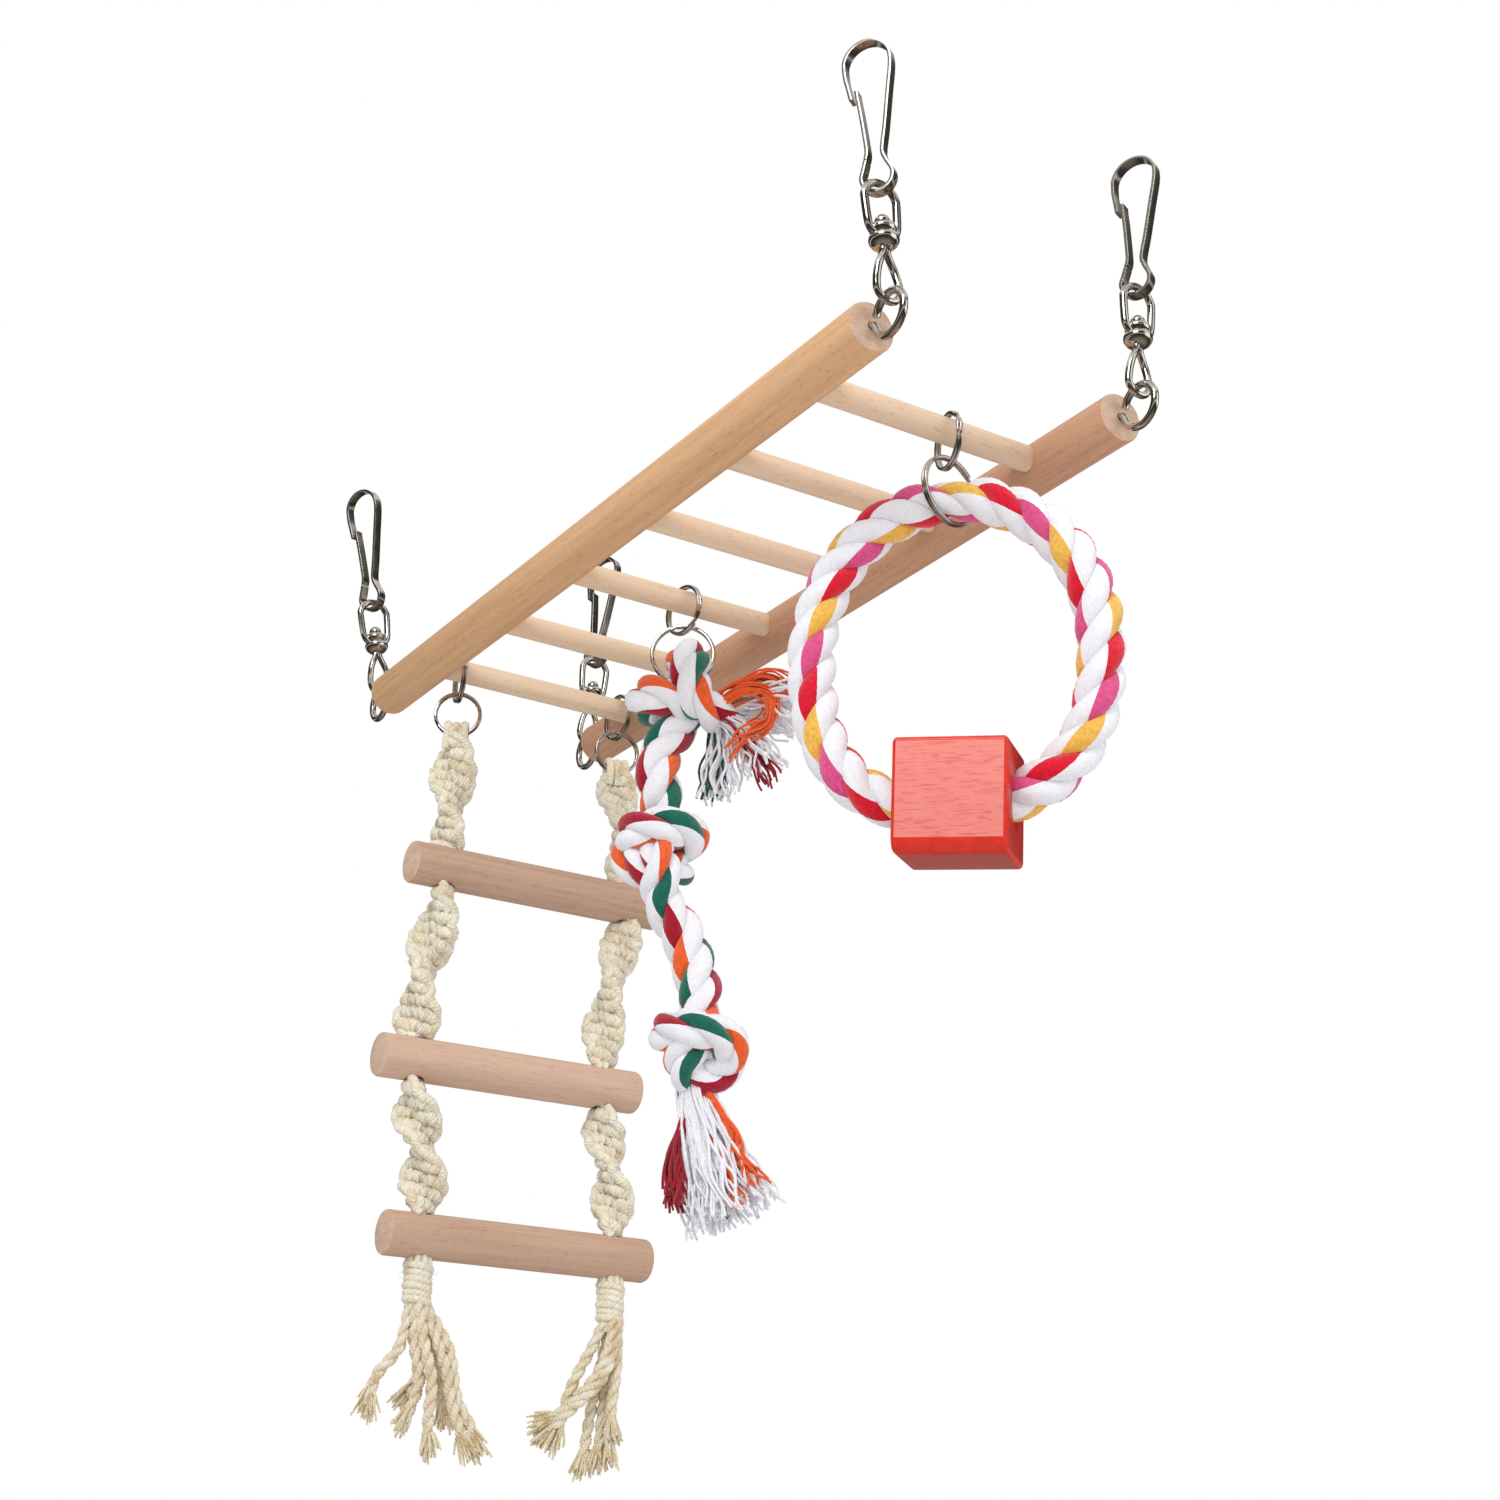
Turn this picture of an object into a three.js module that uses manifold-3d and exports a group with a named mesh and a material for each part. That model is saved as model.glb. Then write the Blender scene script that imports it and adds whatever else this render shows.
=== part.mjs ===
// A hanging bridge for a small-pet cage: two dowel rails with six rungs, hung on four swivel snap hooks.
// A rope ladder, a knotted chew rope and a rope hoop with a wooden block hang below it on split rings.
// Millimetres, +Z up, the bridge's length along Y. The origin is over the bridge's centre, at the
// height where the hooks bear on the cage bars.
import * as THREE from "three";
import { mergeVertices } from "three/addons/utils/BufferGeometryUtils.js";
import Module from "manifold-3d";

const wasm = await Module();
wasm.setup();

// ---- driving dimensions ----
const GAP = 0.3; // between neighbours that touch on the real object
const RAIL_DROP = 73; // from the origin down to the rails' axes
const RAIL = { length: 266, radius: 6.6, spacing: 76.8, chamfer: 0.6 };
const BRIDGE_RUNG = { count: 6, pitch: 41.2, radius: 3.5, socket: 4 };
const LADDER_RUNG = { length: 86, radius: 6.5, chamfer: 0.8, holeOffset: 31.5, holeRadius: 3 };
const LADDER_RUNG_PLACES = [
  { x: 2.2, drop: 65.6 },
  { x: -4.2, drop: 126 },
  { x: 0.9, drop: 177 },
];
const LADDER_ROPE_X = { left: -28, right: 29.3 };
const SMALL_RING = { radius: 7.2, wire: 0.8, drop: 2.6 };
const LADDER_RING = { radius: 6.9, wire: 0.8 };
const TOY_RING = { radius: 9, wire: 0.8 };
const SCREW_EYE = { radius: 5.6, wire: 0.9, reach: 7, shank: 13 };

// Heights along a hook's chain, from where its lowest link hangs in the screw eye.
const CHAIN = { barrelFoot: 13.6, barrelTop: 20.6, bowTop: 31.5, bearing: 70.2 };
const CHAIN_FOOT = 3.3; // that contact's height over the rail's axis
const EYE_LINK = { halfWidth: 3.5, wire: 0.8, top: 11.3, shank: 0.85 };
const BARREL = { radius: 3.6, bore: 1.3 };
const BOW = { halfWidth: 4.2, wire: 0.8 };
const HOOK = { thickness: 0.9, width: 3.6, crown: 5.9, bulb: 4.1, bulbDrop: 37.3, neckDrop: 30.6 };

// Each hook leans outwards by `lean` and is turned about its chain by `yaw`, both in degrees.
const CORNERS = [
  { name: "front_left", side: -1, end: -1, lean: 4.5, yaw: -57 },
  { name: "front_right", side: 1, end: -1, lean: 3, yaw: -68 },
  { name: "rear_left", side: -1, end: 1, lean: 9.5, yaw: -65 },
  { name: "rear_right", side: 1, end: 1, lean: 4, yaw: -68 },
];

const HOOP = { x: 7, turn: -47, radius: 5.2, halfWidth: 35.7, halfHeight: 41, squareness: 2.5 };
const BLOCK = { size: 27.5, chamfer: 2.5, bore: 7.6, nod: 9, slope: 4 };
const CHEW = { x: 4, turn: -33, radius: 6.2, knot: 12.8 };

// Places that follow from the driving dimensions.
const rungY = (index) => (index - (BRIDGE_RUNG.count - 1) / 2) * BRIDGE_RUNG.pitch;
const HOOP_Y = rungY(0);
const CHEW_Y = rungY(3);
const LADDER_Y = rungY(5);
const linkedDrop = SMALL_RING.drop + SMALL_RING.radius - SMALL_RING.wire - LADDER_RING.wire - GAP;

// ---- materials ----
const finish = (color, roughness, metalness = 0) =>
  new THREE.MeshStandardMaterial({ color, roughness, metalness });
const beech = finish("#c89873", 0.6);
const paleWood = finish("#e6cbae", 0.6);
const nickel = finish("#b9b4ad", 0.25, 1);
const sisal = finish("#e2d7b6", 0.95);
const cotton = finish("#f0eeee", 0.95);
const redPaint = finish("#e0402c", 0.5);

// ---- solids ----
const assembly = new THREE.Group();

function addPart(name, geometry, material, place = assembly) {
  const mesh = new THREE.Mesh(geometry, material);
  mesh.name = name;
  place.add(mesh);
}

function toSolid(geometry) {
  const bare = geometry.index ? geometry.clone() : geometry;
  bare.deleteAttribute("normal");
  bare.deleteAttribute("uv");
  const merged = mergeVertices(bare, 1e-4);
  const vertProperties = new Float32Array(merged.attributes.position.array);
  const triVerts = new Uint32Array(merged.index.array);
  return new wasm.Manifold(new wasm.Mesh({ numProp: 3, vertProperties, triVerts }));
}

function toGeometry(solid) {
  const mesh = solid.getMesh();
  const geometry = new THREE.BufferGeometry();
  geometry.setAttribute("position", new THREE.BufferAttribute(mesh.vertProperties, 3));
  geometry.setIndex(new THREE.BufferAttribute(mesh.triVerts, 1));
  return geometry;
}

const joined = (first, ...others) =>
  toGeometry(others.reduce((sum, next) => sum.add(toSolid(next)), toSolid(first)));
const cutFrom = (body, ...tools) =>
  toGeometry(tools.reduce((rest, tool) => rest.subtract(toSolid(tool)), toSolid(body)));

// A round solid about +Z from [radius, height] points, whose ends lie on the axis.
function turned(profile, sides = 16) {
  const points = profile.map(([radius, height]) => new THREE.Vector2(radius, height));
  return new THREE.LatheGeometry(points, sides).rotateX(Math.PI / 2);
}

// A dowel about the X axis, centred, with broken edges.
function dowel(length, radius, chamfer, sides) {
  const half = length / 2;
  const profile = [
    [0, -half],
    [radius - chamfer, -half],
    [radius, chamfer - half],
    [radius, half - chamfer],
    [radius - chamfer, half],
    [0, half],
  ];
  return turned(profile, sides).rotateY(Math.PI / 2);
}

// A round bar along Z between two heights.
const bar = (radius, low, high, sides = 12) =>
  new THREE.CylinderGeometry(radius, radius, high - low, sides)
    .rotateX(Math.PI / 2)
    .translate(0, 0, (low + high) / 2);

// A closed wire loop in the XZ plane through [x, z] points.
function wireLoop(path, wire, sides = 6) {
  const positions = [];
  const indices = [];
  path.forEach(([x, z], i) => {
    const before = path[(i + path.length - 1) % path.length];
    const after = path[(i + 1) % path.length];
    const outwards = new THREE.Vector2(after[1] - before[1], before[0] - after[0]).normalize();
    for (let k = 0; k < sides; k++) {
      const angle = (k / sides) * 2 * Math.PI;
      const swell = wire * Math.cos(angle);
      positions.push(x + outwards.x * swell, wire * Math.sin(angle), z + outwards.y * swell);
      const next = (i + 1) % path.length;
      const a = i * sides + k;
      const b = i * sides + ((k + 1) % sides);
      const c = next * sides + ((k + 1) % sides);
      const d = next * sides + k;
      indices.push(a, b, c, a, c, d);
    }
  });
  const geometry = new THREE.BufferGeometry();
  geometry.setAttribute("position", new THREE.Float32BufferAttribute(positions, 3));
  geometry.setIndex(indices);
  return geometry;
}

// [x, z] points of an oval that goes anticlockwise.
function oval(halfWidth, low, high, steps) {
  return Array.from({ length: steps }, (_, i) => {
    const angle = (i / steps) * 2 * Math.PI;
    return [halfWidth * Math.cos(angle), (low + high) / 2 + ((high - low) / 2) * Math.sin(angle)];
  });
}

const splitRing = ({ radius, wire }) => wireLoop(oval(radius, -radius, radius, 20), wire);

// The outline of a strip of constant thickness along a path of [x, y] points.
function stripShape(path, thickness) {
  const points = path.map(([x, y]) => new THREE.Vector2(x, y));
  const normal = (a, b) => new THREE.Vector2(a.y - b.y, b.x - a.x).normalize();
  const sides = points.map((point, i) => {
    const first = normal(points[Math.max(i - 1, 0)], points[Math.max(i, 1)]);
    const lastStart = points.length - 2;
    const second = normal(points[Math.min(i, lastStart)], points[Math.min(i + 1, lastStart + 1)]);
    const mitre = first.clone().add(second).normalize();
    const offset = mitre.multiplyScalar(thickness / 2 / mitre.dot(first));
    return [point.clone().add(offset), point.clone().sub(offset)];
  });
  return new THREE.Shape([...sides.map((pair) => pair[0]), ...sides.map((pair) => pair[1]).reverse()]);
}

// A flat strip bent in the XZ plane, with its width along Y.
const strip = (path, thickness, width) =>
  new THREE.ExtrudeGeometry(stripShape(path, thickness), { depth: width, bevelEnabled: false, steps: 1 })
    .translate(0, 0, -width / 2)
    .rotateX(Math.PI / 2);

function arc(centreX, centreY, radius, fromDegrees, toDegrees, steps) {
  return Array.from({ length: steps + 1 }, (_, i) => {
    const angle = THREE.MathUtils.degToRad(fromDegrees + ((toDegrees - fromDegrees) * i) / steps);
    return [centreX + radius * Math.cos(angle), centreY + radius * Math.sin(angle)];
  });
}

// ---- the bridge ----
function addRails() {
  const socketRadius = BRIDGE_RUNG.radius + GAP + 0.1;
  const pilotRadius = SCREW_EYE.wire + GAP + 0.1;
  for (const [name, side] of [["rail_left", -1], ["rail_right", 1]]) {
    const rail = dowel(RAIL.length, RAIL.radius, RAIL.chamfer, 32).rotateZ(Math.PI / 2);
    const floor = RAIL.radius - BRIDGE_RUNG.socket - GAP;
    const sockets = Array.from({ length: BRIDGE_RUNG.count }, (_, i) =>
      bar(socketRadius, floor, RAIL.radius + 2, 16)
        .rotateY((-side * Math.PI) / 2)
        .translate(0, rungY(i), 0));
    const pilots = [-1, 1].map((end) =>
      bar(pilotRadius, RAIL.length / 2 - SCREW_EYE.shank - GAP, RAIL.length / 2 + 2, 8)
        .rotateX((-end * Math.PI) / 2));
    const solid = cutFrom(rail, ...sockets, ...pilots);
    addPart(name, solid.translate((side * RAIL.spacing) / 2, 0, -RAIL_DROP), beech);
  }
}

function addBridgeRungs() {
  const length = RAIL.spacing - 2 * (RAIL.radius - BRIDGE_RUNG.socket);
  for (let i = 0; i < BRIDGE_RUNG.count; i++) {
    const rung = dowel(length, BRIDGE_RUNG.radius, 0.3, 20);
    addPart(`bridge_rung_${i + 1}`, rung.translate(0, rungY(i), -RAIL_DROP), paleWood);
  }
}

// ---- the four hook chains ----
function screwEye(end) {
  const loop = splitRing(SCREW_EYE).rotateZ(Math.PI / 2);
  const shank = bar(SCREW_EYE.wire, SCREW_EYE.radius - SCREW_EYE.wire / 2, SCREW_EYE.shank + SCREW_EYE.reach, 8)
    .rotateX((end * Math.PI) / 2);
  return joined(loop, shank);
}

// An oval wire link with a shank that passes up through the barrel to a riveted head.
function swivelEye() {
  const link = wireLoop(oval(EYE_LINK.halfWidth, 0, EYE_LINK.top, 20), EYE_LINK.wire);
  const headFoot = CHAIN.barrelTop + GAP;
  const head = turned([
    [0, EYE_LINK.top],
    [EYE_LINK.shank, EYE_LINK.top],
    [EYE_LINK.shank, headFoot],
    [1.9, headFoot],
    [1.4, headFoot + 1.1],
    [0, headFoot + 1.4],
  ], 12);
  return joined(link, head);
}

function swivelBarrel() {
  const { barrelFoot: foot, barrelTop: top } = CHAIN;
  const { radius, bore } = BARREL;
  const ring = turned([
    [0, foot],
    [radius - 1.2, foot],
    [radius, foot + 1.6],
    [radius, foot + 3.2],
    [radius - 0.5, foot + 3.9],
    [radius - 0.4, top - 0.8],
    [radius - 1.2, top],
    [0, top],
  ], 16);
  return cutFrom(ring, bar(bore, foot - 1, top + 1, 12));
}

// A wire bow with both feet turned in against the barrel.
function swivelBow() {
  const foot = CHAIN.barrelTop - 1.6;
  const low = foot + 1.7;
  const shoulder = CHAIN.bowTop - 3.4;
  const inner = BARREL.radius - 0.4 + GAP + BOW.wire;
  const crown = arc(0, shoulder, BOW.halfWidth, 0, 180, 10).map(([x, z]) => [
    x,
    shoulder + ((z - shoulder) * (CHAIN.bowTop - shoulder)) / BOW.halfWidth,
  ]);
  const path = [[inner, foot], [BOW.halfWidth, low], ...crown, [-BOW.halfWidth, low], [-inner, foot]];
  const route = new THREE.CatmullRomCurve3(path.map(([x, z]) => new THREE.Vector3(x, 0, z)));
  const section = new THREE.Shape(arc(0, 0, BOW.wire, 0, 300, 5).map(([x, y]) => new THREE.Vector2(x, y)));
  return new THREE.ExtrudeGeometry(section, { steps: 26, extrudePath: route });
}

// The spring-steel strip from the nose over the crown, down the spine and round the bulb.
function hookFrame() {
  const { thickness, crown, bulb, bulbDrop, neckDrop } = HOOK;
  const inner = crown - thickness / 2;
  const halfStep = 12;
  const crownY = -inner * Math.cos(THREE.MathUtils.degToRad(halfStep));
  return [
    [-crown + 1.1, crownY - 9.4],
    [-crown + 0.1, crownY - 3],
    ...arc(0, crownY, crown, 174, 6, 7),
    [crown - 0.1, crownY - 2.6],
    [1.9, -neckDrop],
    ...arc(0, -bulbDrop, bulb, 28, -208, 12),
    [-2.3, 0.4 - neckDrop - 2],
  ];
}

function hookGate() {
  const { thickness, crown, neckDrop } = HOOK;
  return [
    [-2, 0.8 - neckDrop],
    [-crown + 1.1 + thickness + GAP + 0.5, -13.2],
  ];
}

function addCorner({ name, side, end, lean, yaw }) {
  const eyeY = end * (RAIL.length / 2 + SCREW_EYE.reach);
  const eyeGeometry = screwEye(end);
  addPart(`screw_eye_${name}`, eyeGeometry.translate((side * RAIL.spacing) / 2, eyeY, -RAIL_DROP), nickel);

  const chain = new THREE.Group();
  chain.position.set((side * RAIL.spacing) / 2, eyeY, CHAIN_FOOT - RAIL_DROP);
  chain.rotation.y = THREE.MathUtils.degToRad(side * lean);
  assembly.add(chain);
  addPart(`swivel_eye_${name}`, swivelEye(), nickel, chain);
  addPart(`swivel_barrel_${name}`, swivelBarrel(), nickel, chain);
  addPart(`swivel_bow_${name}`, swivelBow(), nickel, chain);

  const hook = new THREE.Group();
  hook.position.z = CHAIN.bearing;
  hook.rotation.z = THREE.MathUtils.degToRad(yaw);
  chain.add(hook);
  addPart(`snap_hook_${name}`, strip(hookFrame(), HOOK.thickness, HOOK.width), nickel, hook);
  addPart(`hook_gate_${name}`, strip(hookGate(), HOOK.thickness, HOOK.width - 0.6), nickel, hook);
}

// ---- the rope ladder ----
function ladderRung() {
  const { length, radius, chamfer, holeOffset, holeRadius } = LADDER_RUNG;
  const holes = [-1, 1].map((side) =>
    bar(holeRadius, -radius - 2, radius + 2, 12).translate(side * holeOffset, 0, 0));
  return cutFrom(dowel(length, radius, chamfer, 24), ...holes);
}

// A soft rope from a top to a foot, from [share of the way down, radius] pairs. Its sections stay level,
// and `drift` says how much of the sideways way they have gone at each share.
function ropeStretch(top, foot, swells, { sides = 10, drift = (share) => share } = {}) {
  const length = top.z - foot.z;
  const profile = [...swells].reverse().map(([share, radius]) => [radius, (1 - share) * length]);
  const rope = turned([[0, 0], ...profile, [0, length]], sides);
  const position = rope.getAttribute("position");
  for (let i = 0; i < position.count; i++) {
    const share = drift(1 - position.getZ(i) / length);
    const x = position.getX(i) + top.x + (foot.x - top.x) * share;
    const y = position.getY(i) + top.y + (foot.y - top.y) * share;
    position.setXYZ(i, x, y, position.getZ(i) + foot.z);
  }
  return rope;
}

// A rope between two rungs leaves the upper hole and enters the lower one upright.
const betweenHoles = { drift: (share) => THREE.MathUtils.smoothstep(share, 0.05, 0.72) };

function addLadder() {
  const neck = 2.3;
  const ringFoot = linkedDrop + 2 * LADDER_RING.radius + LADDER_RING.wire;
  const holeX = (index, side) => LADDER_RUNG_PLACES[index].x + side * LADDER_RUNG.holeOffset;
  const under = (index) => LADDER_RUNG_PLACES[index].drop + LADDER_RUNG.radius;
  const stretches = [
    { name: "upper", swells: [[0, 1.2], [0.06, 3.6], [0.2, 5.6], [0.36, 5.2], [0.56, 3.1], [0.71, neck], [1, neck]] },
    { name: "middle", swells: [[0, 1.4], [0.04, neck], [0.12, 4.6], [0.26, 6.3], [0.42, 5.4], [0.55, 3.4], [0.62, 4.6], [0.7, 3.6], [0.76, neck], [1, neck]] },
    { name: "lower", swells: [[0, 1.4], [0.04, neck], [0.12, 4.2], [0.22, 5.2], [0.34, 3.4], [0.48, 5.6], [0.62, 4.6], [0.72, neck], [1, neck]] },
  ];
  for (const [side, sign] of [["left", -1], ["right", 1]]) {
    const ropeX = LADDER_ROPE_X[side];
    const small = splitRing(SMALL_RING).rotateZ(Math.PI / 2 - (sign < 0 ? 0.26 : 0));
    addPart(`small_ring_${side}`, small.translate(ropeX, LADDER_Y, -RAIL_DROP - SMALL_RING.drop), nickel);
    const ringDrop = linkedDrop + LADDER_RING.radius;
    const ring = splitRing(LADDER_RING).rotateZ(sign < 0 ? -0.5 : -0.2);
    addPart(`ladder_ring_${side}`, ring.translate(ropeX, LADDER_Y, -RAIL_DROP - ringDrop), nickel);
    const at = (x, drop) => new THREE.Vector3(x, LADDER_Y, -RAIL_DROP - drop);
    const tops = [at(ropeX, ringFoot + GAP), at(holeX(0, sign), under(0) + GAP), at(holeX(1, sign), under(1) + GAP)];
    stretches.forEach(({ name, swells }, i) => {
      const foot = at(holeX(i, sign), under(i) - 0.6);
      addPart(`ladder_rope_${name}_${side}`, ropeStretch(tops[i], foot, swells, betweenHoles), sisal);
    });
    const bindingTop = under(2) + GAP;
    const bindingFoot = bindingTop + 13;
    const binding = ropeStretch(at(holeX(2, sign), bindingTop), at(holeX(2, sign), bindingFoot), [[0, 4.2], [1, 4.4]]);
    addPart(`rope_binding_${side}`, binding, sisal);
    const tasselTop = at(holeX(2, sign), bindingFoot + GAP);
    const tasselFoot = at(holeX(2, sign) - 3 * sign, bindingFoot + 40);
    const tassel = ropeStretch(tasselTop, tasselFoot, [[0, 4], [0.3, 6.5], [0.8, 12], [1, 13]]);
    addPart(`rope_tassel_${side}`, tassel, sisal);
  }
  LADDER_RUNG_PLACES.forEach(({ x, drop }, i) =>
    addPart(`ladder_rung_${i + 1}`, ladderRung().translate(x, LADDER_Y, -RAIL_DROP - drop), beech));
}

// ---- the rope hoop with its block ----
function addToyRings(toy, x, y, smallTurn, ringTurn) {
  const small = splitRing(SMALL_RING).rotateZ(Math.PI / 2 + smallTurn);
  addPart(`${toy}_small_ring`, small.translate(x, y, -RAIL_DROP - SMALL_RING.drop), nickel);
  const ring = splitRing(TOY_RING).rotateZ(ringTurn);
  addPart(`${toy}_ring`, ring.translate(x, y, -RAIL_DROP - linkedDrop - TOY_RING.radius), nickel);
}

// [x, z] of the hoop's centre line: an oval that is squarer below, where the block holds it straight.
function hoopPoint(angle) {
  const { halfWidth, halfHeight, squareness } = HOOP;
  const power = Math.sin(angle) < 0 ? 2 / squareness : 1;
  const bend = (value) => Math.sign(value) * Math.abs(value) ** power;
  return [halfWidth * bend(Math.cos(angle)), halfHeight * bend(Math.sin(angle))];
}

function addHoop() {
  addToyRings("hoop", HOOP.x, HOOP_Y, -0.26, 0.15);
  const ringInner = linkedDrop + 2 * TOY_RING.radius - TOY_RING.wire;
  const topDrop = ringInner - HOOP.radius - GAP;
  const place = new THREE.Group();
  place.position.set(HOOP.x, HOOP_Y, -RAIL_DROP - topDrop - HOOP.halfHeight);
  place.rotation.z = THREE.MathUtils.degToRad(HOOP.turn);
  assembly.add(place);

  const steps = 40;
  const ends = 0.06;
  const points = Array.from({ length: steps + 1 }, (_, i) => {
    const [x, z] = hoopPoint(-Math.PI / 2 + ends + ((2 * Math.PI - 2 * ends) * i) / steps);
    return new THREE.Vector3(x, 0, z);
  });
  const route = new THREE.CatmullRomCurve3(points);
  const section = new THREE.Shape(arc(0, 0, HOOP.radius, 0, 315, 7).map(([x, y]) => new THREE.Vector2(x, y)));
  addPart("hoop_rope", new THREE.ExtrudeGeometry(section, { steps: 44, extrudePath: route }), cotton, place);

  const { size, chamfer, bore } = BLOCK;
  const half = size / 2 - chamfer;
  const face = new THREE.Shape();
  face.moveTo(-half, -half).lineTo(half, -half).lineTo(half, half).lineTo(-half, half);
  const cube = new THREE.ExtrudeGeometry(face, {
    depth: size - 2 * chamfer,
    bevelEnabled: true,
    bevelThickness: chamfer,
    bevelSize: chamfer,
    bevelSegments: 1,
  }).translate(0, 0, chamfer - size / 2);
  const hole = bar(bore, -size, size, 16).rotateY(Math.PI / 2);
  const block = cutFrom(cube, hole)
    .rotateX(THREE.MathUtils.degToRad(BLOCK.nod))
    .rotateY(THREE.MathUtils.degToRad(BLOCK.slope));
  addPart("hoop_block", block.translate(0, 0, 0.8 - HOOP.halfHeight), redPaint, place);
}

// ---- the knotted chew rope ----
function addChewRope() {
  addToyRings("chew", CHEW.x, CHEW_Y, 0.12, THREE.MathUtils.degToRad(CHEW.turn));
  const ringDrop = linkedDrop + TOY_RING.radius;
  const at = (x, y, drop) => new THREE.Vector3(CHEW.x + x, CHEW_Y + y, -RAIL_DROP - drop);
  const knot = (centre, height = 1) =>
    new THREE.SphereGeometry(CHEW.knot, 14, 10)
      .rotateX(Math.PI / 2)
      .scale(1, 1, height)
      .translate(centre.x, centre.y, centre.z);
  const stretch = (top, foot) => ropeStretch(top, foot, [[0, CHEW.radius], [1, CHEW.radius]], { sides: 12 });

  const channel = wireLoop(oval(TOY_RING.radius, -TOY_RING.radius, TOY_RING.radius, 20), TOY_RING.wire + GAP + 0.1)
    .rotateZ(THREE.MathUtils.degToRad(CHEW.turn))
    .translate(CHEW.x, CHEW_Y, -RAIL_DROP - ringDrop);
  const topKnot = at(-2, 1, 27.5);
  addPart("chew_knot_top", cutFrom(knot(topKnot, 0.95), channel), cotton);

  const sideways = new THREE.Vector3(0.81, -0.53, -0.26).normalize();
  const tasselStart = topKnot.clone().addScaledVector(sideways, CHEW.knot + GAP + 0.1);
  const sideTassel = turned([[0, 0], [5, 0], [8, 8], [11, 20], [0, 21]])
    .applyQuaternion(new THREE.Quaternion().setFromUnitVectors(new THREE.Vector3(0, 0, 1), sideways))
    .translate(tasselStart.x, tasselStart.y, tasselStart.z);
  addPart("chew_tassel_side", sideTassel, cotton);

  const middleKnot = at(-5, 2.6, 77.3);
  const spanTop = at(-5.6, 3.2, 27.5 + CHEW.knot * 0.95 + GAP);
  addPart("chew_rope_upper", joined(knot(middleKnot, 0.86), stretch(spanTop, middleKnot)), cotton);

  const bend = at(-0.4, -0.4, 77.3 + CHEW.knot * 0.86 + CHEW.radius + 1);
  const lowerKnot = at(5.3, -4.1, 134.2);
  const ball = new THREE.SphereGeometry(CHEW.radius, 12, 8)
    .rotateX(Math.PI / 2)
    .translate(bend.x, bend.y, bend.z);
  addPart("chew_rope_lower", joined(knot(lowerKnot, 0.92), stretch(bend, lowerKnot), ball), cotton);

  const lowerTop = at(6.8, -5.2, 134.2 + CHEW.knot * 0.92 + GAP + 0.4);
  const lowerEnd = at(13.5, -9.8, 183);
  addPart("chew_tassel_bottom", ropeStretch(lowerTop, lowerEnd, [[0, 5.5], [0.3, 8.5], [0.8, 13], [1, 14]]), cotton);
}

addRails();
addBridgeRungs();
CORNERS.forEach(addCorner);
addLadder();
addHoop();
addChewRope();

export default assembly;
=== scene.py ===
"""A hanging pet bridge of dowels on four snap hooks, with a rope ladder, a chew rope and a rope hoop."""

import math
import random

import bpy
import numpy as np
from mathutils import Matrix, Vector


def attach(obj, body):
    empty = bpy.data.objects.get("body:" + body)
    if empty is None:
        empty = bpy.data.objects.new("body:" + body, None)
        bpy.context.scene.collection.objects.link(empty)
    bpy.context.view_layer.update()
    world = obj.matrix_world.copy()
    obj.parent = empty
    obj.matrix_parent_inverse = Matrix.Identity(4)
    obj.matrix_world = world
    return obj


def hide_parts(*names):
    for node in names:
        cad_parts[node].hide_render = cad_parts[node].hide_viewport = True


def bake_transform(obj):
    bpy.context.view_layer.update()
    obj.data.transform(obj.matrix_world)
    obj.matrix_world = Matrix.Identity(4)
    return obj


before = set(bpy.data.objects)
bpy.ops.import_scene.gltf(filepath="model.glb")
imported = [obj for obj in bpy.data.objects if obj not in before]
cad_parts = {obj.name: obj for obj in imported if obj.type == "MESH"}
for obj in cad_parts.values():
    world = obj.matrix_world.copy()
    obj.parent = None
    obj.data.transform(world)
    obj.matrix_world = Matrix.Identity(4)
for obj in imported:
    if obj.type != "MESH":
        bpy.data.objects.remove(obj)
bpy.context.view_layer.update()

MM = 0.001  # every length below is in millimetres until a mesh is made

# ---- the model's driving dimensions, as in the part's source ----
RAIL_DROP = 73.0
RAIL_LENGTH, RAIL_RADIUS, RAIL_SPACING = 266.0, 6.6, 76.8
RUNG_COUNT, RUNG_PITCH, RUNG_RADIUS = 6, 41.2, 3.5
SOCKET, SCREW_SHANK = 4.0, 13.0
LADDER_RUNG_LENGTH, LADDER_RUNG_RADIUS, HOLE_OFFSET, HOLE_RADIUS = 86.0, 6.5, 31.5, 3.0
LADDER_RUNGS = [(2.2, 65.6), (-4.2, 126.0), (0.9, 177.0)]  # x and drop of each rung's centre
LADDER_ROPE_X = {"left": -28.0, "right": 29.3}
LADDER_RING_TURN = {"left": -0.5, "right": -0.2}
SMALL_RING, LADDER_RING, TOY_RING = 7.2, 6.9, 9.0
SMALL_RING_DROP, LINKED_DROP = 2.6, 7.9
SCREW_EYE_RADIUS, SCREW_EYE_REACH = 5.6, 7.0
WIRE = 1.02
EYE_TWIST = math.radians(25)
CHAIN_FOOT, BARREL_TOP, BOW_TOP, BEARING = 3.3, 20.6, 31.5, 70.2
BOW_HALF_WIDTH = 4.65
BARREL_PROFILE = [
    (0.0, 13.6), (1.6, 13.6), (2.4, 13.9), (3.1, 14.5), (3.6, 15.3), (3.75, 16.1), (3.6, 16.8), (3.1, 17.3),
    (2.75, 17.6), (2.9, 17.9), (3.3, 18.4), (3.35, 19.0), (3.1, 19.8), (2.3, 20.4), (0.0, 20.6),
]
RIVET_PROFILE = [
    (0.0, 12.4), (0.9, 12.5), (0.9, 20.7), (1.85, 20.8), (1.9, 21.3), (1.6, 22.0), (1.0, 22.6), (0.0, 22.9),
]
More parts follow.
